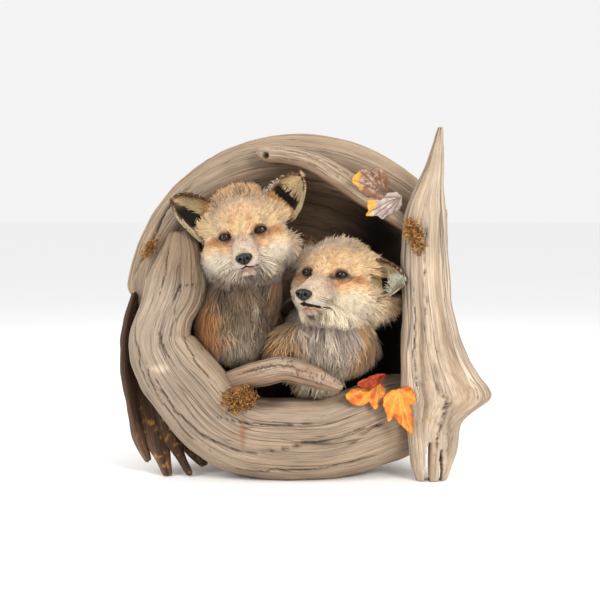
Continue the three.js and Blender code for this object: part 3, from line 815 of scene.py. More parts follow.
def leaf_tint(look, p, vein, shade):
    main, other, low, high = LEAF_LOOKS[look]
    colour = mixed(main, other, smoothstep(shade, low, high))
    if look == "brown":
        colour = mixed(colour, linear(104, 70, 48), 0.8 * smoothstep(shade, 0.35, 0.8))
    if look in FADED:
        colour = mixed(colour, linear(120, 92, 76), 0.6 * smoothstep(vein, 1.4, 0.3))
        colour = mixed(colour, linear(222, 166, 62), 0.9 * smoothstep(p[:, 0] + 4 * shade, -12, -20))
    if look == "autumn":
        colour = mixed(colour, linear(240, 180, 84), 0.7 * smoothstep(vein, 2.4, 0.4))
    return colour


def spun(x, y, angle):
    """The coordinates x and y turned by an angle, from x towards y."""
    return x * math.cos(angle) - y * math.sin(angle), x * math.sin(angle) + y * math.cos(angle)


def leaf_edge(leaf, seed):
    """The outline of a leaf with its small teeth, and its middle."""
    outline = smooth_loop(leaf["outline"], LEAF_AROUND)
    turn = np.arange(LEAF_AROUND)
    middle = outline.mean(0)
    teeth = 1 + 0.035 * np.abs(np.sin(turn * math.pi * LEAF_TEETH / LEAF_AROUND))
    teeth += 0.03 * noise(stacked(turn / 5, 0, seed), 3)
    return middle + (outline - middle) * teeth[:, None], middle


def make_leaf(name, leaf, material, slot, seed):
    """A thin curled blade: rings out over its front and back in over its other side."""
    edge, middle = leaf_edge(leaf, seed)
    share = np.concatenate([np.linspace(0, 1, LEAF_RINGS), np.linspace(1, 0, LEAF_RINGS)])
    p = (middle + (edge - middle)[None] * share[:, None, None]).reshape(-1, 2)
    vein = vein_distance(p, leaf["stem"], leaf["tips"])
    side = np.repeat(np.where(np.arange(2 * LEAF_RINGS) < LEAF_RINGS, -1.0, 1.0), LEAF_AROUND)
    radius = np.linalg.norm((p - middle) / 24, axis=1)
    shade = layered_noise(stacked(p[:, 0] / 9, p[:, 1] / 9, seed), seed)
    depth = leaf["curl"] * (radius**2 * np.cos(2 * np.arctan2(p[:, 0], p[:, 1])) - 0.6 * radius**2)
    depth += 1.4 * shade + 0.8 * smoothstep(vein, 1.6, 0) + side * LEAF_THICK / 2
    if leaf["look"] == "brown":
        depth -= 4.0 * smoothstep(p[:, 1] + 0.5 * p[:, 0], 2, 12)
    tip, spin = math.radians(leaf["tip"]), math.radians(leaf["turn"])
    y, z = spun(depth, p[:, 1] / math.cos(tip), tip)
    x, y = spun(p[:, 0] / math.cos(spin), y, spin)
    tint = leaf_tint(leaf["look"], p, vein, shade) * (1 - 0.35 * smoothstep(vein, 0.7, 0.1))[:, None]
    tint *= (1 - 0.25 * smoothstep(np.repeat(share, LEAF_AROUND), 0.93, 1.0))[:, None]
    faces = grid_faces(2 * LEAF_RINGS, LEAF_AROUND)
    verts = stacked(x, y, z) + vec(*leaf["at"])
    piece = make_piece(name + "_blade", verts, faces, material, np.clip(tint, 0, 1), slot=slot)
    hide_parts(name)


def moss_path(radii, rng):
    """The course of one curly strand, kept within the tuft."""
    away = unit(rng.normal(0, 1, 3)) * rng.random() ** 0.45
    path = [away * radii]
    heading = unit(rng.normal(0, 1, 3) * vec(1, 0.7, 1))
    curl = unit(rng.normal(0, 1, 3))
    for _ in STRAND[1:]:
        heading = unit(heading + 0.42 * np.cross(heading, curl) + 0.2 * rng.normal(0, 1, 3))
        path.append(path[-1] + heading * rng.uniform(0.9, 1.5))
    path = np.array(path)
    return path / max(1.0, np.linalg.norm(path / (radii + 8), axis=1).max())


def make_moss(name, tuft, material, seed):
    """A tangle of curly strands in an oval."""
    rng = np.random.default_rng(seed)
    strands, tints = [], []
    for _ in range(int(tuft["strands"] * (1))):
        path = moss_path(np.array(tuft["radii"]), rng)
        strands.append(tube(path, STRAND * rng.uniform(0.7, 1.2), 5))
        tone = DARK_MOSS + (PALE_MOSS - DARK_MOSS) * rng.random() ** 1.5
        tints.append(every(tone * rng.uniform(0.8, 1.1), strands[-1][0]))
    p, faces = joined(strands)
    x, z = spun(p[:, 0], p[:, 2], -math.radians(tuft["lean"]))
    verts = stacked(x, p[:, 1], z) + vec(*tuft["at"])
    piece = make_piece(name + "_strands", verts, faces, material, np.concatenate(tints), slot="moss")
    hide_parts(name)


def make_leaves_and_moss():
    slots = ("faded_leaf", "autumn_leaf")
    looks = {slot: leaf_material(slot) for slot in slots}
    moss = leaf_material("moss")
    for index, (name, leaf) in enumerate(LEAVES.items()):
        slot = slots[leaf["look"] not in FADED]
        make_leaf(name, leaf, looks[slot], slot, 3 + index)
    for index, (name, tuft) in enumerate(MOSS.items()):
        make_moss(name, tuft, moss, 50 + index)


# ---------------------------------------------------------------- shapes of the foxes
# Each shape is a function that gives the distance of points from it, negative inside.
def ellipsoid(centre, radii):
    centre, radii = np.array(centre, float), np.array(radii, float)

    def distance(p):
        q = p - centre
        k0 = np.linalg.norm(q / radii, axis=1)
        k1 = np.linalg.norm(q / radii**2, axis=1)
        return k0 * (k0 - 1) / np.maximum(k1, 1e-9)

    return distance


def round_cone(a, ra, b, rb):
    a, b = np.array(a, float), np.array(b, float)

    def distance(p):
        ab = b - a
        t = np.clip((p - a) @ ab / (ab @ ab), 0, 1)
        return np.linalg.norm(p - a - t[:, None] * ab, axis=1) - (ra + (rb - ra) * t)

    return distance


def smooth_min(a, b, k):
    h = np.maximum(k - np.abs(a - b), 0) / k
    return np.minimum(a, b) - h * h * k / 4


def smooth_max(a, b, k):
    return -smooth_min(-a, -b, k)


def blended(shapes, k):
    def distance(p):
        d = shapes[0](p)
        for shape in shapes[1:]:
            d = smooth_min(d, shape(p), k)
        return d

    return distance


def both_sides(make):
    return [make(-1), make(1)]


EYE_RADIUS = 7.5
EYE_SPREAD = 23
HEAD_BLEND = 14


def upper_head(crown, slim):
    """The skull and the upper jaw; crown raises the fluff above, slim draws in the cheek towards -X."""
    return blended(
        [
            ellipsoid((0, 46, 14 + crown / 3), (47, 50, 38 + crown / 3)),  # cranium
            ellipsoid((0, 16, 12), (34, 28, 24)),  # forehead
            ellipsoid((0, 42, 34 + crown), (38, 28, 23)),  # crown
            round_cone((0, 4, -15), 23, (0, -53, -33), 13),  # muzzle
            round_cone((0, 4, 0), 11, (0, -58, -25), 7.5),  # bridge of the nose
            *both_sides(lambda s: ellipsoid((s * 12, 2, 9), (13, 11, 8))),  # brow
            *both_sides(lambda s: ellipsoid((s * 38, 38, 12), (23, 28, 24))),  # temple
            *both_sides(lambda s: ellipsoid((s * 33 + (s < 0) * slim / 2, 24, -20), (27, 26, 27))),  # cheek
            *both_sides(lambda s: ellipsoid((s * 44 + (s < 0) * slim, 40, -27), (25, 27, 27))),  # ruff
        ],
        HEAD_BLEND,
    )


LOWER_HEAD = blended(
    [
        round_cone((0, 2, -40), 17, (0, -46, -44), 8.5),  # lower jaw
        ellipsoid((0, 26, -44), (40, 36, 26)),  # throat
    ],
    HEAD_BLEND,
)
LIPS = blended(
    both_sides(lambda s: ellipsoid((s * 9, -46, -34), (10.5, 18, 9.5))),  # whisker pads
    6,
)
SOCKETS = both_sides(lambda s: ellipsoid((s * (EYE_SPREAD + 1), -10, 0), (9, 12, 7.5)))
EYES = both_sides(lambda s: np.array([s * EYE_SPREAD, 0.0, 0.0]))
LID_WIDE = math.tan(math.radians(43))  # half the opening of the lids, across and up
LID_HIGH = math.tan(math.radians(28))
LID_RADIUS = 8.4  # of the ball of skin that the lids are cut from
LID_REACH = 14  # the lids are shaped this near the middle of an eye
GAZE_OUT = 6  # degrees that each eye looks outwards


BUSTS = {
    "left": [
        round_cone((-72, -24, 286), 51, (-85, -18, 228), 56),
        ellipsoid((-92, -14, 196), (58, 54, 52)),
        round_cone((-88, 0, 205), 48, (-82, 56, 205), 44),
    ],
    "right": [
        round_cone((54, -32, 240), 50, (38, -28, 195), 58),
        ellipsoid((88, -36, 236), (38, 32, 36)),
        ellipsoid((26, -16, 172), (72, 58, 50)),
        ellipsoid((-20, -42, 168), (34, 34, 38)),
        ellipsoid((14, -24, 134), (44, 40, 33)),
        round_cone((30, 5, 180), 56, (36, 52, 190), 46),
    ],
}
BUST_BLEND = 20
BUST_MIDDLE = {"left": vec(-88, 0, 200), "right": vec(36, 0, 180)}
# The edges of an ear in the head's frame, each by its root and a point that it bends towards; tip ends both.
# Its hair is kept short over the opening, or has long wisps, or a tassel at the tip.
EARS = {
    "left": [
        dict(lower=((-48, 40, -8), (-80, 26, 20)), upper=((-26, 44, 42), (-58, 34, 72)),
             tip=(-87, 27, 66), cup=15, hair="short"),
        dict(lower=((62, 46, 2), (93, 32, 26)), upper=((32, 48, 42), (58, 38, 70)),
             tip=(90, 38, 62), cup=14, hair="wisps"),
    ],
    "right": [
        dict(lower=((-50, 48, -6), (-66, 44, 12)), upper=((-28, 46, 36), (-44, 42, 58)),
             tip=(-64, 44, 46), cup=10, hair="short"),
        dict(lower=((50, 42, -24), (82, 24, -28)), upper=((42, 40, 24), (72, 28, 32)),
             tip=(100, 28, 4), cup=16, hair="tassel"),
    ],
}


class Fox:
    """One fox: its pose, its colours, and the turn between the head's frame and the mount's."""

    def __init__(self, name, eyes, yaw, pitch, roll, crown, slim, gape, beard, colours, bib, golden, seed):
        self.name = name
        self.eyes = np.array(eyes, float)
        self.gape = gape
        self.beard = beard
        self.colours = colours
        self.bib = bib
        self.golden = golden
        self.seed = seed
        self.upper_head = upper_head(crown, slim)
        self.bust = blended(BUSTS[name], BUST_BLEND)
        self.ears = EARS[name]
        y, p, r = (math.radians(-a) for a in (yaw, pitch, roll))
        about_z = np.array([[math.cos(y), -math.sin(y), 0], [math.sin(y), math.cos(y), 0], [0, 0, 1]])
        about_x = np.array([[1, 0, 0], [0, math.cos(p), -math.sin(p)], [0, math.sin(p), math.cos(p)]])
        about_y = np.array([[math.cos(r), 0, math.sin(r)], [0, 1, 0], [-math.sin(r), 0, math.cos(r)]])
        self.turn = about_z @ about_x @ about_y

    def to_head(self, p):
        return (p - self.eyes) @ self.turn

    def to_mount(self, p):
        return p @ self.turn.T + self.eyes

    def outside(self, p):
        """The coat's outside, in the mount's coordinates; negative inside."""
        h = self.to_head(p)
        head = smooth_min(self.upper_head(h), LOWER_HEAD(h), HEAD_BLEND)
        for socket in SOCKETS:
            head = smooth_max(head, -socket(h), 5)
        return np.minimum(head, self.bust(p))


# The gape opens the jaw, and the beard is how far the pale jaw reaches down over the chest.
# The bib is given by its middle's x, its height and half its width, above and below.
# Golden places of the chest are ovals seen from the front: x, z, half the width, half the height.
FOXES = [
    Fox(
        "left", eyes=(-81, -70, 317), yaw=1.5, pitch=1, roll=12, crown=4, slim=0, gape=0.6, beard=0,
        colours=dict(
            iris=linear(88, 54, 32), gold=linear(198, 146, 88), pale=linear(247, 230, 205),
            lip=linear(228, 200, 176), brow=linear(222, 178, 130), flank=linear(186, 120, 58),
            grey=linear(116, 94, 72),
        ),
        bib=((-80, 262, 52), (-90, 165, 40)),
        golden=((-130, 208, 24, 36), (-30, 231, 16, 38)),
        seed=11,
    ),
    Fox(
        "right", eyes=(24, -78, 266), yaw=22, pitch=8, roll=-3, crown=-8, slim=9, gape=3.5, beard=12,
        colours=dict(
            iris=linear(44, 32, 26), gold=linear(248, 208, 138), pale=linear(244, 226, 194),
            lip=linear(196, 158, 136), brow=linear(204, 160, 116), flank=linear(178, 132, 76),
            grey=linear(178, 160, 144),
        ),
        bib=((8, 215, 52), (34, 130, 44)),
        golden=((-34, 168, 32, 46), (74, 165, 16, 34), (-10, 118, 30, 20)),
        seed=23,
    ),
]


# Regions of the coat in the head's frame: centre, radii, the value that holds inside, softness.
# The two sides are alike, so x is taken as its size. Later regions lie over earlier ones.
def region_value(p, base, regions):
    """The value at points that is laid down by the regions, over a base."""
    value = np.repeat(np.atleast_2d(np.asarray(base, float)), len(p), 0)
    q = p.copy()
    q[:, 0] = np.abs(q[:, 0])
    for centre, radii, inside, soft in regions:
        k = np.linalg.norm((q - np.array(centre, float)) / np.array(radii, float), axis=1)
        weight = 1 - smoothstep(k, 1 - soft, 1 + soft)
        value += weight[:, None] * (np.asarray(inside, float) - value)
    return value


# length of the hair, depth of the coat, width of a tuft, lift off the skin in degrees
COAT_BASE = (30, 12.0, 1.0, 20)
COAT_REGIONS = [
    ((0, 40, 10), (76, 60, 56), (15, 7.0, 0.78, 24), 0.25),  # head
    ((0, 42, 48), (44, 30, 20), (23, 9.5, 0.8, 44), 0.5),  # crown
    ((54, 40, 14), (18, 30, 28), (22, 9.5, 0.8, 32), 0.4),  # temple
    ((0, 8, 16), (34, 26, 24), (6.5, 3.2, 0.58, 20), 0.35),  # forehead
    ((34, 16, -22), (27, 26, 25), (8, 4.0, 0.6, 16), 0.4),  # cheek
    ((60, 44, -26), (22, 30, 32), (24, 9.5, 0.9, 26), 0.4),  # ruff
    ((0, 18, -50), (38, 40, 12), (17, 6.5, 0.8, 15), 0.4),  # throat
    ((0, -8, 4), (28, 16, 16), (4.4, 2.0, 0.5, 18), 0.4),  # between the eyes
    ((0, -38, -24), (26, 34, 22), (3.4, 1.5, 0.44, 15), 0.3),  # muzzle
    ((EYE_SPREAD, -4, 0), (13, 12, 10), (3.0, 1.3, 0.42, 15), 0.35),  # lids
    ((0, -60, -36), (14, 12, 14), (2.2, 1.0, 0.38, 15), 0.4),  # lips
    ((0, -48, -54), (12, 16, 8), (4.0, 1.5, 0.48, 18), 0.4),  # chin
]

BIB_TIPS = linear(208, 194, 168)
DARK = linear(46, 32, 26)

# Marks of the face, as regions: centre, radii, colour, softness. A name is a colour of that fox.
HEAD_MARKS = [
    ((0, 42, 52), (54, 40, 26), "gold", 0.7),  # crown
    ((0, 14, 22), (26, 26, 16), "brow", 0.6),  # forehead
    ((24, 4, 15), (15, 12, 8), linear(220, 184, 138), 0.5),  # over the eyes
    ((32, 10, -34), (27, 30, 17), "pale", 0.5),  # cheek
    ((24, -6, -41), (26, 34, 12), "pale", 0.5),  # jaw
    ((0, 10, -50), (38, 40, 8), "pale", 0.5),  # throat
    ((0, -38, -24), (20, 34, 20), linear(234, 208, 180), 0.4),  # muzzle
    ((12, -48, -38), (13, 18, 6), linear(238, 226, 212), 0.4),  # upper lip
    ((0, -34, -7), (7, 30, 8), linear(214, 168, 124), 0.5),  # bridge of the nose
    ((15, -24, -17), (8, 18, 10), linear(198, 158, 128), 0.5),  # side of the muzzle
    ((12, -12, -7), (4.5, 12, 9), linear(178, 124, 88), 0.6),  # tear line
    ((24, -5, -13), (14, 10, 6), linear(220, 160, 106), 0.8),  # under the eye
    ((38, 5, -7), (13, 13, 5), linear(182, 122, 72), 0.8),  # outer corner of the eye
    ((EYE_SPREAD, -8, 0), (11, 9, 7.2), linear(132, 92, 66), 0.35),  # rim of the lids
    ((14, -14, -4), (6, 8, 3.4), linear(92, 62, 46), 0.5),  # inner corner of the eye
    ((33, -2, -2), (7, 9, 3.2), linear(98, 64, 44), 0.5),  # outer corner of the lids
    ((11, -6, 9), (4.5, 8, 11), linear(206, 154, 104), 0.6),  # inner end of the brow
    ((0, -52, -50), (8, 11, 4.5), "lip", 0.5),  # chin
]
HEAD_GOLD = linear(233, 197, 148)


def mouth_height(x):
    """Height of the middle of the mouth in the head's frame, at a distance from the middle."""
    x = np.abs(x)
    return -42.4 + 0.045 * (x - 6) ** 2 * (x < 6) - 0.12 * np.maximum(x - 6, 0)


def head_colour(h, fox):
    """Colour of the coat at points in the head's frame."""
    marks = []
    for centre, radii, tone, soft in HEAD_MARKS:
        marks.append((centre, radii, fox.colours[tone] if isinstance(tone, str) else tone, soft))
    colour = region_value(h + 1.2 * noise(h / 5, 19)[:, None], HEAD_GOLD, marks)
    return colour * (1 + 0.13 * layered_noise(h / vec(2.2, 10, 5), 3))[:, None]


def body_colours(p, fox):
    """Colours of the chest and of the flank at points of the mount."""
    (x1, z1, w1), (x2, z2, w2) = fox.bib
    t = np.clip((z1 - p[:, 2]) / (z1 - z2), 0, 1.3)
    off = np.abs(p[:, 0] - (x1 + (x2 - x1) * t)) + 7 * noise(p / 11, 5) + 3 * noise(p / 4, 6)
    half = w1 + (w2 - w1) * t
    locks = layered_noise(p / np.array([6.5, 6.5, 34]), 8)
    chest = mixed(fox.colours["grey"], BIB_TIPS, 0.75 * smoothstep(t, 0.3, 0.9))
    chest = mixed(chest, BIB_TIPS * 1.1, (0.3 + 0.5 * np.minimum(t, 1)) * smoothstep(locks, 0.1, 0.9))
    chest = mixed(chest, linear(66, 50, 40), 0.7 * smoothstep(-locks, 0.1, 0.9))
    flank = mixed(fox.colours["flank"], linear(120, 84, 54), 0.6 * smoothstep(locks, 0.1, 1.0))
    flank = mixed(flank, BIB_TIPS, 0.35 * smoothstep(-locks, 0.1, 1.0))
    golden = np.maximum(smoothstep(off, half - 9, half + 9), smoothstep(p[:, 2], 120, 106))
    for x, z, wide, high in fox.golden:
        around = np.hypot((p[:, 0] - x) / wide, (p[:, 2] - z) / high) + 0.2 * noise(p / 7, 5)
        golden = np.maximum(golden, smoothstep(around, 1.3, 0.5))
    return mixed(chest, flank, 0.85 * golden), flank


def coat_colour(p, fox):
    """Colour of the coat at points of the mount."""
    h = fox.to_head(p)
    chest, flank = body_colours(p, fox)
    low = h[:, 2] + fox.beard + 5 * noise(p / 8, 12)
    body = smoothstep(low, -32, -49) * smoothstep(h[:, 1], -44, -24)
    body = np.maximum(body, smoothstep(low, -47, -60))
    head = mixed(head_colour(h, fox), flank, 0.7 * smoothstep(h[:, 1], 56, 84))
    return np.clip(mixed(head, chest, body), 0.003, 1)


def lid_cone(q, side):
    """Negative inside the opening of the lids, for points about the middle of an eye."""
    out = math.radians(GAZE_OUT) * side
    x = q[:, 0] * math.cos(out) + q[:, 1] * math.sin(out)
    y = -q[:, 0] * math.sin(out) + q[:, 1] * math.cos(out)
    z = q[:, 2]
    forward = np.maximum(-y, 1e-3)
    k = np.hypot(x / (forward * LID_WIDE), z / (forward * LID_HIGH))
    return np.where(y < 0, (k - 1) * 4, 10.0)


def skin_distance(p, fox):
    """The skin: the coat's outside, drawn in by the depth of the coat, with lids and lips."""
    h = fox.to_head(p)
    depth = region_value(h, COAT_BASE, COAT_REGIONS)[:, 1]
    jaw = h.copy()
    jaw[:, 2] += fox.gape * smoothstep(-h[:, 1], 0, 60)
    upper = smooth_min(fox.upper_head(h), LIPS(h), 4)
    head = smooth_min(upper, LOWER_HEAD(jaw), 2 + 12 * smoothstep(h[:, 1], -30, 10))
    for socket in SOCKETS:
        head = smooth_max(head, -socket(h), 5)
    d = smooth_min(head + depth, fox.bust(p) + depth, 12)
    for side, eye in zip((-1, 1), EYES):
        q = h - eye
        r = np.linalg.norm(q, axis=1)
        d = smooth_min(d, r - LID_RADIUS, 3)
        by_eye = r < LID_REACH
        if by_eye.any():
            d[by_eye] = smooth_max(d[by_eye], -lid_cone(q[by_eye], side), 0.8)
    return d


# ---------------------------------------------------------------- surface nets
CORNERS = np.array(list(itertools.product((0, 1), repeat=3)))
CELL_EDGES = [
    (a, b) for a, b in itertools.combinations(range(8), 2) if np.abs(CORNERS[a] - CORNERS[b]).sum() == 1
]
NET_BAND = 7.0  # the distance is worked out exactly this near the surface


def sampled(distance, low, counts, step, band):
    """The distance on a grid, worked out only near the surface."""
    coarse = 4
    few = [c // coarse + 2 for c in counts]
    axes = [low[i] + np.arange(few[i]) * step * coarse for i in range(3)]
    p = np.stack(np.meshgrid(*axes, indexing="ij"), -1).reshape(-1, 3)
    rough = distance(p).reshape(few)
    index = [np.arange(c) / coarse for c in counts]
    out = rough
    for axis in range(3):
        i = index[axis].astype(int)
        f = (index[axis] - i).reshape([-1 if a == axis else 1 for a in range(3)])
        out = np.take(out, i, axis) * (1 - f) + np.take(out, i + 1, axis) * f
    close = np.abs(out) < band
    out[close] = distance(low + np.argwhere(close) * step)
    return out


def surface_nets(distance, low, high, step):
    """Vertices, outward quads and normals of the zero surface of a distance."""
    low = np.asarray(low, float)
    counts = np.ceil((np.asarray(high) - low) / step).astype(int)
    field = sampled(distance, low, counts, step, NET_BAND)
    inside = field < 0
    total = np.zeros(np.array(field.shape) - 1, np.int8)
    for i, j, k in CORNERS:
        total += inside[i : i - 1 or None, j : j - 1 or None, k : k - 1 or None]
    active = (total > 0) & (total < 8)
    number = np.full(active.shape, -1, np.int64)
    cells = np.argwhere(active)
    number[active] = np.arange(len(cells))
    values = np.stack([field[tuple((cells + c).T)] for c in CORNERS], 1)
    place = np.zeros((len(cells), 3))
    count = np.zeros(len(cells))
    for a, b in CELL_EDGES:
        va, vb = values[:, a], values[:, b]
        crossed = (va < 0) != (vb < 0)
        t = np.where(crossed, va / np.where(crossed, va - vb, 1), 0)
        place += crossed[:, None] * (CORNERS[a] + t[:, None] * (CORNERS[b] - CORNERS[a]))
        count += crossed
    verts = low + step * (cells + place / count[:, None])
    quads = []
    for axis in range(3):
        u, v = [a for a in range(3) if a != axis]
        first = np.take(inside, range(inside.shape[axis] - 1), axis)
        second = np.take(inside, range(1, inside.shape[axis]), axis)
        where = np.argwhere(first != second)
        where = where[(where[:, u] > 0) & (where[:, v] > 0)]
        where = where[(where[:, u] < active.shape[u]) & (where[:, v] < active.shape[v])]
        out = first[tuple(where.T)]
        ring = []
        for du, dv in ((-1, -1), (0, -1), (0, 0), (-1, 0)):
            cell = where.copy()
            cell[:, u] += du
            cell[:, v] += dv
            ring.append(number[tuple(cell.T)])
        ring = np.stack(ring, 1)
        flip = out if axis != 1 else ~out
        ring[~flip] = ring[~flip][:, ::-1]
        quads.append(ring[(ring >= 0).all(1)])
    quads = np.concatenate(quads)
    for _ in range(2):
        gradient = slope(distance, verts)
        verts -= np.clip(distance(verts), -step, step)[:, None] * gradient
    return verts, quads, slope(distance, verts)


def slope(distance, p, reach=0.4):
    """The direction in which a distance grows."""
    steps = np.eye(3) * reach
    return unit(np.stack([distance(p + s) - distance(p - s) for s in steps], 1))


# ---------------------------------------------------------------- fur
PATCH = 0.003  # width of a tuft's patch on the coat's flat map


def unwrap(fox, roots):
    """A place on a flat unwrap of the skin: the head's sphere above, the bust's tube below."""
    h = fox.to_head(roots) - vec(0, 30, -5)
    r = np.linalg.norm(h, axis=1)
    head = np.stack([np.arctan2(h[:, 0], -h[:, 1]) / (2 * math.pi) + 0.5, 0.74 + 0.24 * h[:, 2] / r], 1)
    b = roots - vec(fox.eyes[0], fox.eyes[1] + 70, 0)
    height = np.clip((roots[:, 2] - 90) / 200, 0, 1)
    bust = np.stack([np.arctan2(b[:, 0], -b[:, 1]) / (2 * math.pi) + 0.5, 0.02 + 0.44 * height], 1)
    low = fox.to_head(roots)[:, 2] < -62
    uv = np.where(low[:, None], bust, head)
    return np.clip(uv, 0.005, 0.99)


def held(colours, most=0.95):
    """Colours darkened where needed, so that none is brighter than a real surface and no hue shifts."""
    return np.maximum(colours / np.maximum(colours.max(1, keepdims=True) / most, 1), 0.003)


# Painted shade: a tuft's root is drawn darker, for depth in the coat.
TUFT_RINGS = {  # for each number of rings: where they are along the tuft, their widths, the root's shade
    1: ([0.0], [1.0], 0.8),
    2: ([0.0, 0.45], [0.8, 0.85], 0.6),
    3: ([0.0, 0.35, 0.7], [0.75, 1.0, 0.62], 0.45),
}
# Painted light: a tuft's tip is drawn this much lighter.
TIP_LIGHT = 1.12
TUFT_SUNK = 0.5  # depth of a tuft's root under the skin


def tuft_triangles(rings):
    """The triangles of one tuft of three-sided rings and a tip."""
    triangles = [(0, 1, 2)]
    for r in range(0, 3 * (rings - 1), 3):
        for a in range(3):
            b = (a + 1) % 3
            triangles += [(r + b, r + a, r + 3 + b), (r + 3 + b, r + a, r + 3 + a)]
    top = 3 * (rings - 1)
    return np.array(triangles + [(top + (a + 1) % 3, top + a, 3 * rings) for a in range(3)])


def tufts(roots, normals, flow, length, width, lift, bend, colours, uv, rings, sway):
    """Tapered three-sided tufts: vertices, triangles, colours, map, normals, and triangles to a tuft."""
    n = len(roots)
    side = unit(np.cross(flow, normals))
    places, widths, root_shade = TUFT_RINGS[rings]
    up, along = np.sin(lift)[:, None], np.cos(lift)[:, None]

    def centre(t):
        rise = up * t - bend[:, None] * up * t * t
        return roots + length[:, None] * (flow * along * t + normals * rise + side * sway[:, None] * t * t)

    verts, tints = [], []
    # Painted shade at each tuft's root and painted light at its tip.
    root_tint, tip_tint = colours * root_shade, held(colours * TIP_LIGHT)
    for t, w in zip(places, widths):
        c = centre(t)
        if t == 0.0:
            c = c - normals * TUFT_SUNK
        reach = (width * w)[:, None]
        verts += [c - side * reach, c + side * reach, c + normals * reach * 0.55]
        tint = root_tint + (tip_tint - root_tint) * min(1.0, t * 1.25)
        tints += [tint, tint, tint]
    verts.append(centre(1.0))
    tints.append(tip_tint)
    per = 3 * rings + 1
    verts = np.stack(verts, 1).reshape(-1, 3)
    tints = np.stack(tints, 1).reshape(-1, 3)
    triangles = tuft_triangles(rings)
    faces = (triangles[None] + (np.arange(n) * per)[:, None, None]).reshape(-1, 3)
    spots = np.array([[x, t] for t in places for x in (0, 1, 0.5)] + [[0.5, 1.0]])
    maps = (uv[:, None] + spots[None] * PATCH).reshape(-1, 2)
    shade = np.repeat(unit(normals + 0.35 * flow), per, 0)
    offset = np.tile([-0.35, 0.35, 0.0] * rings + [0.0], n)[:, None] * np.repeat(side, per, 0)
    return verts, faces, tints, maps, unit(shade + offset), len(triangles)


class Coat:
    """Collects the tufts of one fox, then makes pieces under the limit of triangles."""

    LIMIT = 190000

    def __init__(self, fox, material):
        self.fox = fox
        self.material = material
        self.batches = []

    def add(self, *batch):
        self.batches.append(batch)

    def build(self):
        """Fills one piece after another, with whole tufts in each."""
        parts, count, number = [], 0, 1
        for verts, faces, tints, maps, normals, per_tuft in self.batches:
            start = 0
            while start < len(faces):
                room = (self.LIMIT - count) // per_tuft * per_tuft
                if room <= 0:
                    self.make(parts, number)
                    parts, count, number = [], 0, number + 1
                    continue
                part = faces[start : start + room]
                low, high = part.min(), part.max() + 1
                rows = [values[low:high] for values in (verts, tints, maps, normals)]
                parts.append((rows[0], part - low, *rows[1:]))
                count += len(part)
                start += len(part)
        self.make(parts, number)

    def make(self, parts, number):
        verts, faces = joined([part[:2] for part in parts])
        tints, maps, normals = (np.concatenate([part[k] for part in parts]) for k in (2, 3, 4))
        name = f"fox_{self.fox.name}_coat_{number}"
        make_piece(name, verts, faces, self.material, tints, maps, normals, "fox_coat")


def hair_flow(p, normals, fox):
    """The lie of the coat: back from the nose over the head, then down the neck and chest."""
    h = fox.to_head(p)
    away = unit(h - vec(0, -78, -20))
    low = smoothstep(h[:, 2], -18, -48) * smoothstep(h[:, 1], -30, 0)
    droop = stacked(0.25 * np.sign(h[:, 0]), 0.15, -1.0)
    crown = smoothstep(h[:, 2], 18, 44)
    back = stacked(0.012 * h[:, 0], 0.75, 0.35)
    head = away + 1.6 * low[:, None] * droop + 0.8 * crown[:, None] * back
    head = unit(head) @ fox.turn.T
    centre = BUST_MIDDLE[fox.name]
    out = unit((p - centre) * vec(1, 1, 0))
    down = unit(0.22 * out + vec(0, 0, -1))
    body = smoothstep(h[:, 2], -46, -70)[:, None]
    flow = head * (1 - body) + down * body
    flow -= normals * (flow * normals).sum(1, keepdims=True)
    return unit(flow)


def triangles_of(quads):
    return np.concatenate([quads[:, [0, 1, 2]], quads[:, [0, 2, 3]]])


def scatter(verts, triangles, normals, density, rng):
    """Random places on a mesh, as many to each area as the density there says."""
    a, b, c = (verts[triangles[:, k]] for k in range(3))
    area = np.linalg.norm(np.cross(b - a, c - a), axis=1) / 2
    share = area * density[triangles].mean(1)
    count = rng.poisson(share)
    which = np.repeat(np.arange(len(triangles)), count)
    u, v = rng.random((2, len(which)))
    over = u + v > 1
    u[over], v[over] = 1 - u[over], 1 - v[over]
    w = [1 - u - v, u, v]
    place = sum(w[k][:, None] * verts[triangles[which, k]] for k in range(3))
    normal = unit(sum(w[k][:, None] * normals[triangles[which, k]] for k in range(3)))
    return place, normal


def wood_tree():
    """A search tree over the wood, for leaving out what lies inside it."""
    verts, faces = [], []
    for name in ("post", "ring_log", "trunk_shell", "upper_branch", "front_branch"):
        mesh = bpy.data.objects[name].data
        shift = len(verts)
        verts += [v.co / MM + Vector(ORIGIN) for v in mesh.vertices]
        faces += [[i + shift for i in polygon.vertices] for polygon in mesh.polygons]
    return bvhtree.BVHTree.FromPolygons(verts, faces)


def buried(points, tree, depth):
    """True for points more than depth inside the wood."""
    hidden = np.zeros(len(points), bool)
    for i, p in enumerate(points):
        place, normal, _, distance = tree.find_nearest(Vector(p))
        hidden[i] = (Vector(p) - place).dot(normal) < 0 and distance > depth
    return hidden


def locks_of(roots, cell, rng):
    """Gathers roots into locks: the shift of each root to its lock's middle, and the lock's number."""
    picks = rng.choice(len(roots), max(8, int(len(roots) / cell)), replace=False)
    tree = kdtree.KDTree(len(picks))
    for i, k in enumerate(picks):
        tree.insert(roots[k], i)
    tree.balance()
    lock = np.array([tree.find(r)[1] for r in roots])
    return roots[picks[lock]] - roots, lock


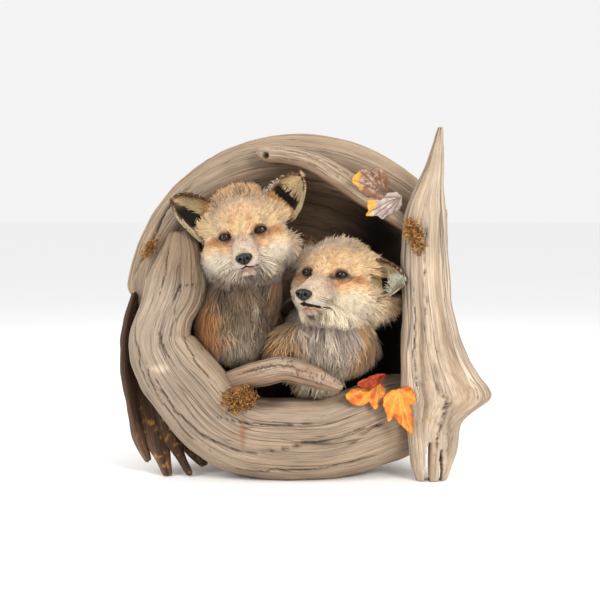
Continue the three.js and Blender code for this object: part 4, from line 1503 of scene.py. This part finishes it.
FUR_DENSITY = 2.5  # tufts to a square millimetre, times a tuft's width and the root of its length
DARK_HAIRS = 0.12  # share of the tufts that are darker than those round them
OVERLAP = 4  # the two coats reach this far into each other
BURIED = 7  # tufts whose roots are deeper in the wood are left out
LOCK = 20  # tufts to a lock, about
SKIN_BOXES = {
    "left": ((-176, -160, 128), (10, 112, 396)),
    "right": ((-66, -166, 86), (150, 116, 338)),
}
REPLACED = {"left": ("fox_left_head", "fox_left_neck", "fox_left_chest"), "right": ("fox_right",)}


def make_skin(fox, material):
    """One skin over the head and the bust, drawn in under the coat."""
    step = 1.7
    low, high = SKIN_BOXES[fox.name]
    verts, quads, normals = surface_nets(lambda p: skin_distance(p, fox), low, high, step)
    # Painted shade: the skin is drawn at about half the coat's colour, as it lies in the coat's shade.
    tint = coat_colour(verts, fox) * 0.55
    skin = make_piece(f"fox_{fox.name}_skin", verts, quads, material, tint, slot="fox_coat")
    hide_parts(*REPLACED[fox.name])
    return verts, quads, normals


def bare_places(fox, roots):
    """True where no tuft grows: on the eyes, the nose and the lips."""
    h = fox.to_head(roots)
    bare = ellipsoid(NOSE_AT, (10.5, 9, 8.4))(h) < 0.2
    for side, eye in zip((-1, 1), EYES):
        q = h - eye
        bare |= (np.linalg.norm(q, axis=1) < 11.5) & (lid_cone(q, side) < 1.0)
    lip = np.abs(h[:, 2] - mouth_height(h[:, 0]) + fox.gape / 2) < 0.9 + fox.gape * 0.75
    bare |= lip & (np.abs(h[:, 0]) < 15) & (h[:, 1] < -30)
    return bare


def in_ear(fox, roots):
    """True near the opening of an ear, where the coat would cover it."""
    h = fox.to_head(roots)
    hidden = np.zeros(len(h), bool)
    for ear in fox.ears:
        clear = 11 if ear["hair"] == "short" else 17
        line = ear_points(ear, np.linspace(0.12, 0.8, 6), np.full(6, -0.2), np.full(6, -3.0))
        for point in line:
            hidden |= np.linalg.norm((h - point) * vec(1, 0.5, 1), axis=1) < clear
    return hidden


def grow_coat(fox, skin, coat, tree, rng):
    """The tufts of the head and the bust."""
    verts, quads, normals = skin
    kind = region_value(fox.to_head(verts), COAT_BASE, COAT_REGIONS)
    density = FUR_DENSITY / (kind[:, 2] * kind[:, 0] ** 0.5) * 1
    density *= 1 - 0.92 * smoothstep(verts[:, 1], 0, 44)  # thin at the back, which the wood hides
    roots, out = scatter(verts, triangles_of(quads), normals, density, rng)
    other = FOXES[1 - FOXES.index(fox)]
    keep = (other.outside(roots) > -OVERLAP) & ~bare_places(fox, roots) & ~in_ear(fox, roots)
    roots, out = roots[keep], out[keep]
    hidden = buried(roots, tree, BURIED)
    roots, out = roots[~hidden], out[~hidden]

    kind = region_value(fox.to_head(roots), COAT_BASE, COAT_REGIONS)
    n = len(roots)
    length = kind[:, 0] * rng.uniform(0.7, 1.25, n)
    width = kind[:, 2] * rng.uniform(0.65, 1.25, n)
    lift = np.radians(kind[:, 3]) * rng.uniform(0.6, 1.35, n)
    long_hair = smoothstep(kind[:, 0], 6, 20)
    flow = hair_flow(roots, out, fox)
    flow += rng.normal(0, 1, (n, 3)) * 0.12
    flow += np.stack([noise(roots / 13, 40 + k) for k in range(3)], 1) * (0.42 * long_hair)[:, None]
    shift, lock = locks_of(roots, LOCK, rng)
    lean = rng.normal(0, 0.16, (lock.max() + 1, 3))
    flow += (shift / length[:, None] + lean[lock]) * long_hair[:, None]
    flow = unit(flow - out * (flow * out).sum(1, keepdims=True))
    tone = rng.normal(1.0, 0.16, (lock.max() + 1, 1))[lock] * rng.normal(1, 0.08, (n, 1))
    tone *= np.where(rng.random((n, 1)) < DARK_HAIRS, 0.6, 1)
    colours = held(coat_colour(roots, fox) * np.clip(tone, 0.6, 1.4))
    sway = rng.normal(0, 0.10, n)
    bend = rng.uniform(0.3, 0.6, n)
    uv = unwrap(fox, roots)
    for rings, shortest, longest in ((1, 0, 6), (2, 6, 17), (3, 17, 99)):
        k = (length >= shortest) & (length < longest)
        coat.add(*tufts(roots[k], out[k], flow[k], length[k], width[k], lift[k], bend[k], colours[k], uv[k],
                        rings, sway[k]))


# ---------------------------------------------------------------- eyes, noses and ears
def own(side):
    """A fox's own right is at -X."""
    return "right" if side < 0 else "left"


def turned_out(side, share=1.0):
    """A turn about Z by a share of the angle that an eye looks outwards."""
    out = math.radians(GAZE_OUT) * side * share
    return np.array([[math.cos(out), -math.sin(out), 0], [math.sin(out), math.cos(out), 0], [0, 0, 1]])


def grid_angles(rows, columns):
    """For each point of a grid, its row's value and its angle round the column."""
    v, u = np.meshgrid(rows, np.arange(columns) * 2 * math.pi / columns, indexing="ij")
    return v.ravel(), u.ravel()


def ball(rows, columns):
    """Directions to the points of a ball, from its front to its back, and their two angles."""
    v, u = grid_angles(np.linspace(0, math.pi, rows), columns)
    return stacked(np.sin(v) * np.cos(u), -np.cos(v), np.sin(v) * np.sin(u)), v, u


def make_eye(fox, side, material):
    """A glass eye with a dark rim, a brown iris and a tall pupil."""
    rows, columns = 40, 48
    away, v, u = ball(rows, columns)
    angle = np.degrees(v)
    radius = EYE_RADIUS + 0.5 * smoothstep(angle, 46, 20)  # the cornea bulges a little
    p = (away * radius[:, None]) @ turned_out(side, 0.4).T + vec(side * EYE_SPREAD, 0, 0)
    across = np.sin(np.radians(angle)) * EYE_RADIUS
    x, z = away[:, 0] * EYE_RADIUS, away[:, 2] * EYE_RADIUS
    pupil = smoothstep(np.hypot(x / 2.9, z / 3.1), 1.15, 0.85)[:, None]
    rim = smoothstep(across, 4.2, 5.0)[:, None]
    streak = 1 + 0.25 * np.sin(u * 17) * noise(away * 9, 2)
    tint = fox.colours["iris"] * streak[:, None] * (1.35 - 0.5 * smoothstep(across, 2.5, 4.8))[:, None]
    tint = tint * (1 - pupil) + pupil * 0.002
    tint = tint * (1 - rim) + rim * linear(26, 18, 14)
    name = f"fox_{fox.name}_eye_{own(side)}"
    verts = fox.to_mount(p)
    piece = make_piece(name + "_glass", verts, grid_faces(rows, columns), material, tint, slot="eye_glass")
    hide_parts(name)


def tube(path, radii, around=10):
    """A tube along a path of points, closed round but open at its ends."""
    path = np.asarray(path, float)
    ahead = unit(np.gradient(path, axis=0))
    helper = np.where(np.abs(ahead[:, 2:3]) > 0.9, vec(1, 0, 0)[None], vec(0, 0, 1)[None])
    side = unit(np.cross(ahead, helper))
    up = np.cross(side, ahead)
    angle = np.arange(around) * 2 * math.pi / around
    ring = side[:, None] * np.cos(angle)[None, :, None] + up[:, None] * np.sin(angle)[None, :, None]
    verts = path[:, None] + ring * np.asarray(radii, float)[:, None, None]
    return verts.reshape(-1, 3), grid_faces(len(path), around)


def make_lids(fox, side, material):
    """The dark rolled edge of the lids, lying on the eye, with its corners drawn out."""
    angle = np.linspace(0, 2 * math.pi, 81)
    corner = 1 + 0.45 * np.abs(np.cos(angle)) ** 8
    x = LID_WIDE * np.cos(angle) * corner
    z = LID_HIGH * np.sin(angle) * (1 - 0.10 * np.cos(angle) * side) + 0.06 * np.cos(angle) * side
    away = unit(np.stack([x, -np.ones_like(x), z], 1))
    path = away * (8.2 + 0.3 * np.abs(np.cos(angle)) ** 4)[:, None] @ turned_out(side).T
    path = path + vec(side * EYE_SPREAD, 0, 0)
    thick = 0.85 + 0.35 * np.abs(np.cos(angle)) ** 3 + 0.1 * np.sin(angle * 11)
    verts, faces = tube(path, thick)
    tint = every(linear(40, 29, 25), verts)
    name = f"fox_{fox.name}_lids_{own(side)}"
    make_piece(name, fox.to_mount(verts), faces, material, tint, slot="ear_skin")


MOUTH_HALF = 12.5  # half the width of the mouth's line
LOWER_LIP = linear(196, 146, 124)


def on_face(fox, x, z, out):
    """The point of the muzzle's skin at x and z of the head's frame, moved out by a little."""
    y = np.full(len(x), -90.0)
    for _ in range(60):
        d = skin_distance(fox.to_mount(np.stack([x, y, z], 1)), fox)
        y = y + np.clip(d - out, -3, 3) * 0.8
    return np.stack([x, y, z], 1)


def make_mouth(fox, material):
    """The groove under the nose, the dark line of the mouth and the lower lip."""
    x = np.linspace(-MOUTH_HALF, MOUTH_HALF, 41)
    end = 1 - (np.abs(x) / MOUTH_HALF) ** 4
    z = mouth_height(x)
    gape = fox.gape
    under_nose = np.linspace(-38, -42.5, 9)
    lines = [
        (on_face(fox, x, z, 0.1), (0.35 + 0.55 * end) * (1 + 0.12 * gape), DARK * 0.5),
        (on_face(fox, x * 0.8, z - 1.6 - 0.55 * gape * end, 0.1), 0.4 + (0.8 + 0.35 * gape) * end, LOWER_LIP),
        (on_face(fox, 0 * under_nose, under_nose, 0.1), np.full(9, 0.55), DARK * 0.5),
    ]
    if gape > 1:
        lines.append((on_face(fox, x * 0.9, z - 0.35 * gape * end, -0.6), 0.3 + 1.5 * end, DARK * 0.4))
    tubes = [tube(path, thick, 8) for path, thick, tone in lines]
    tint = np.concatenate([every(tone, verts) for (verts, faces), (_, _, tone) in zip(tubes, lines)])
    verts, faces = joined(tubes)
    make_piece(f"fox_{fox.name}_mouth", fox.to_mount(verts), faces, material, tint, slot="ear_skin")


NOSE_AT = vec(0, -67.5, -31)
NOSE_RADII = vec(10.6, 7.8, 8.0)


def make_nose(fox, material):
    """The nose pad: broad above and narrow below, with comma-shaped nostrils and a groove."""
    rows, columns = 80, 110
    away, _, _ = ball(rows, columns)
    p = away * NOSE_RADII
    x, z = p[:, 0].copy(), p[:, 2].copy()
    front = smoothstep(-p[:, 1], 0, 5)
    p[:, 0] *= 1.02 - 0.30 * smoothstep(-z, -2, 8)
    p[:, 2] -= 1.4 * smoothstep(z, 2, 8)  # flat on top
    p[:, 1] += 1.3 * front * smoothstep(np.abs(x), 2.4, 0)
    for side in (-1, 1):
        inner = np.hypot((x - side * 4.6) / 2.0, (z + 0.6) / 1.7)
        tail = np.hypot((x - side * 7.6) / 3.2, (z + 2.4 - 0.25 * side * (x - side * 7.6)) / 0.9)
        p[:, 1] += front * (4.5 * smoothstep(inner, 1.3, 0.4) + 2.4 * smoothstep(tail, 1.3, 0.4))
        p[:, 1] -= front * 0.9 * smoothstep(np.hypot((x - side * 6.5) / 3.4, (z - 2.0) / 2.2), 1.2, 0.2)
    p[:, 1] += 1.8 * front * smoothstep(np.abs(x), 1.0, 0.1) * smoothstep(-z, -2, 3)
    p += away * (0.14 * noise(p / 0.8, 5) + 0.10 * noise(p / 0.4, 6))[:, None]
    name = f"fox_{fox.name}_nose_pad"
    verts = fox.to_mount(p + NOSE_AT)
    piece = make_piece(name, verts, grid_faces(rows, columns), material, slot="nose_leather")
    if fox.name == "left":
        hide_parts("fox_left_nose")


def bezier(a, b, c, t):
    a, b, c = (np.array(v, float) for v in (a, b, c))
    t = t[..., None]
    return a * (1 - t) ** 2 + 2 * b * t * (1 - t) + c * t**2


def ear_points(ear, v, w, out):
    """Points of an ear: v from the head to the tip, w across from -1 to 1, out off its surface."""
    along = 0.9 * v
    low = bezier(*ear["lower"], ear["tip"], along)
    high = bezier(*ear["upper"], ear["tip"], along)
    rounded = np.sqrt(np.maximum(1 - np.maximum((v - 0.78) / 0.22, 0) ** 2, 0))
    w = w * rounded
    width = np.linalg.norm(high - low, axis=-1)
    sunk = ear["cup"] * (1 - w * w) * np.minimum(1, width / 40)
    middle = (low + high) / 2 + (high - low) * (w / 2)[..., None]
    middle[..., 1] += sunk - 3.5 * np.abs(w) ** 8 * rounded + out
    return middle


CRUST = linear(78, 50, 32)
PALE_RIM = linear(214, 190, 152)
INNER_BLACK = linear(24, 18, 15)
INNER_HAIR = linear(196, 168, 124)


def make_ear(fox, ear, side, material):
    """A dried, cupped ear, black inside, with a crusty rim."""
    rows, columns = 90, 72
    v, u = grid_angles(np.linspace(0, 1, rows), columns)
    w = np.cos(u)
    rim = np.abs(w) ** 9
    thick = (0.9 + 1.7 * rim) * np.sign(np.sin(u)) * np.abs(np.sin(u)) ** 0.5
    p = ear_points(ear, v, w, thick)
    crust = layered_noise(p / 2.4, 61 + fox.seed, 3)
    p += (crust * (0.2 + 1.6 * rim))[:, None] * unit(vec(0.3 * side, -1, 0.4))
    front = (np.sin(u) < 0)[:, None]
    inside = mixed(INNER_BLACK, linear(120, 92, 62), smoothstep(v + 0.2 * w, 0.62, 0.95))
    tint = np.where(front, inside, linear(58, 42, 32)[None])
    edge = mixed(PALE_RIM, CRUST, smoothstep(w * 0.6 + v + 0.5 * crust, 0.35, 0.8))
    tint = mixed(tint, edge, rim) * (1 + 0.3 * layered_noise(p / 1.3, 9))[:, None]
    name = f"fox_{fox.name}_ear_{own(side)}"
    tint = np.clip(tint, 0.003, 1)
    verts = fox.to_mount(p)
    piece = make_piece(name + "_skin", verts, grid_faces(rows, columns), material, tint, slot="ear_skin")
    if fox.name == "left":
        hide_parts(name)


def grow_ear_hair(fox, ear, coat, rng):
    """Short hair behind the ear, and longer hair inside it, on its edges and at its root."""

    def hair(count, vs, ws, back, length, width, colour, lean, lift):
        """Tufts on a part of the ear; lean is their course along the ear and across it."""
        n = int(count * (1))
        hv, hw = rng.uniform(*vs, n), rng.uniform(*ws, n)
        off = np.full(n, 0.9 if back else -0.9)
        roots = ear_points(ear, hv, hw, off)
        ahead = ear_points(ear, hv + 0.02, hw, off) - roots
        across = ear_points(ear, hv, hw + 0.02, off) - roots
        out = unit(np.cross(ahead, across))
        out *= np.where((out[:, 1] > 0) == back, 1, -1)[:, None]
        flow = unit(ahead) * lean[0] + unit(across) * lean[1] + rng.normal(0, 0.16, (n, 3))
        flow = unit(flow - out * (flow * out).sum(1, keepdims=True))
        roots, out, flow = fox.to_mount(roots), out @ fox.turn.T, flow @ fox.turn.T
        tone = colour * np.clip(rng.normal(1, 0.22, (n, 1)), 0.5, 1.6)
        lengths = length * rng.uniform(0.55, 1.2, n)
        widths = width * rng.uniform(0.7, 1.2, n)
        lifts = np.radians(lift) * rng.uniform(0.6, 1.3, n)
        sway = rng.normal(0, 0.1, n)
        coat.add(*tufts(roots, out, flow, lengths, widths, lifts, np.full(n, 0.4), np.clip(tone, 0, 1),
                        unwrap(fox, roots), 2, sway))

    hair(3600, (0.0, 0.98), (-0.98, 0.98), True, 6, 0.55, linear(88, 66, 48), (1, 0), 20)
    if ear["hair"] == "wisps":
        for start in (0.36, 0.46, 0.56):
            hair(520, (start, 0.97), (-0.75, 0.97), False, 9, 0.5, INNER_HAIR, (0.9, -0.1), 14)
    else:
        hair(1100, (0.05, 0.85), (0.25, 0.93), False, 11, 0.5, INNER_HAIR, (0.9, -0.25), 14)
    hair(260, (0.1, 0.9), (0.8, 1.0), False, 8, 0.45, linear(150, 112, 72), (0.8, 0.5), 34)
    hair(420, (0.02, 0.6), (-1.0, -0.82), False, 9, 0.5, PALE_RIM, (0.9, -0.3), 30)
    root_hair = 15 if ear["hair"] == "short" else 7
    hair(900, (-0.02, 0.16), (-0.95, 0.95), False, root_hair, 0.7, fox.colours["gold"] * 0.9, (1.0, 0.0), 26)
    if ear["hair"] == "wisps":
        hair(70, (0.1, 0.5), (0.9, 1.0), False, 24, 0.4, linear(232, 222, 206), (0.1, 1.0), 40)
    if ear["hair"] == "tassel":
        for k in range(6):
            lean = (0.9 - 0.3 * k, 0.3 * k - 0.9)
            hair(90, (0.55, 1.0), (-0.95, 0.2), False, 17, 0.6, linear(255, 244, 214), lean, 50)


def make_ear_rim(fox, ear, side, material):
    """The dried edge of an ear: a lumpy cord, dark above and paler below."""
    rows, around = 90, 14
    v = np.concatenate([np.linspace(0.08, 1, rows), np.linspace(1, 0.08, rows)[1:]])
    w = np.where(np.arange(len(v)) < rows, 1.0, -1.0)
    path = ear_points(ear, v, w, np.zeros(len(v)))
    lump = layered_noise(path / 4.5, 67 + fox.seed, 3)
    high = np.where(w > 0, 1.0, smoothstep(v, 0.7, 0.95))
    thick = (1.1 + 1.4 * high * smoothstep(v, 0.05, 0.5)) * (1 + 0.45 * lump)
    verts, faces = tube(path, np.maximum(thick, 0.35), around)
    grain = layered_noise(verts / 1.5, 71, 3)
    verts = verts + 0.5 * grain[:, None] * vec(0.4 * side, -1, 0.5)
    tint = mixed(PALE_RIM * 0.8, CRUST, np.repeat(high, around))
    tint = mixed(tint, CRUST * 0.35, 0.8 * smoothstep(grain, 0.15, 0.7))
    tint = mixed(tint, PALE_RIM, 0.7 * smoothstep(-grain, 0.35, 0.9))
    name = f"fox_{fox.name}_ear_rim_{own(side)}"
    make_piece(name, fox.to_mount(verts), faces, material, tint, slot="ear_skin")


def make_whiskers(fox, material, rng):
    """A few thin dark whiskers from each side of the muzzle."""
    t = np.linspace(0, 1, 14)
    whiskers = []
    for side in (-1, 1):
        for k in range(9):
            root = vec(side * (10 + 2.5 * (k % 3)), -56 + 5 * (k // 3), -30 - 3.2 * (k % 3))
            reach = rng.uniform(26, 44)
            drop = 0.12 * t + 0.25 * t * t
            path = root + stacked(side * reach * 0.85 * t, reach * 0.42 * t, -reach * drop)
            whiskers.append(tube(path, 0.22 * (1 - 0.85 * t), 5))
    verts, faces = joined(whiskers)
    make_piece(f"fox_{fox.name}_whiskers", fox.to_mount(verts), faces, material, slot="ear_skin")


def make_foxes():
    skin_look, coat_look = skin_material(), coat_material()
    nose_look, glass_look = wet_nose_material(), eye_material("eye_glass")
    whisker_look = plain_material("whiskers", linear(60, 48, 40), 0.5)
    tree = wood_tree()
    for fox in FOXES:
        rng = np.random.default_rng(fox.seed)
        coat = Coat(fox, coat_look)
        skin = make_skin(fox, skin_look)
        grow_coat(fox, skin, coat, tree, rng)
        for side, ear in zip((-1, 1), fox.ears):
            make_eye(fox, side, glass_look)
            make_lids(fox, side, skin_look)
            make_ear(fox, ear, side, skin_look)
            grow_ear_hair(fox, ear, coat, rng)
            make_ear_rim(fox, ear, side, skin_look)
        make_nose(fox, nose_look)
        make_mouth(fox, skin_look)
        make_whiskers(fox, whisker_look, rng)
        coat.build()


def make_floor():
    mesh = bpy.data.meshes.new("floor")
    corners = [(FLOOR_REACH * x, FLOOR_REACH * y, 0) for x, y in ((-1, -1), (1, -1), (1, 1), (-1, 1))]
    mesh.from_pydata(corners, [], [(0, 1, 2, 3)])
    floor = bpy.data.objects.new("floor", mesh)
    floor.location.z = -FLOOR_DROP
    look = Shader("floor", Roughness=0.9)
    look.link(look.ramp(look.noise(3.0, 2.0), (0.0, grey(0.95)), (1.0, grey(0.97))), "Base Color")
    mesh.materials.append(look.material)
    bpy.context.collection.objects.link(floor)


make_camera()
make_studio()
make_floor()
make_foxes()
make_wood()
make_leaves_and_moss()
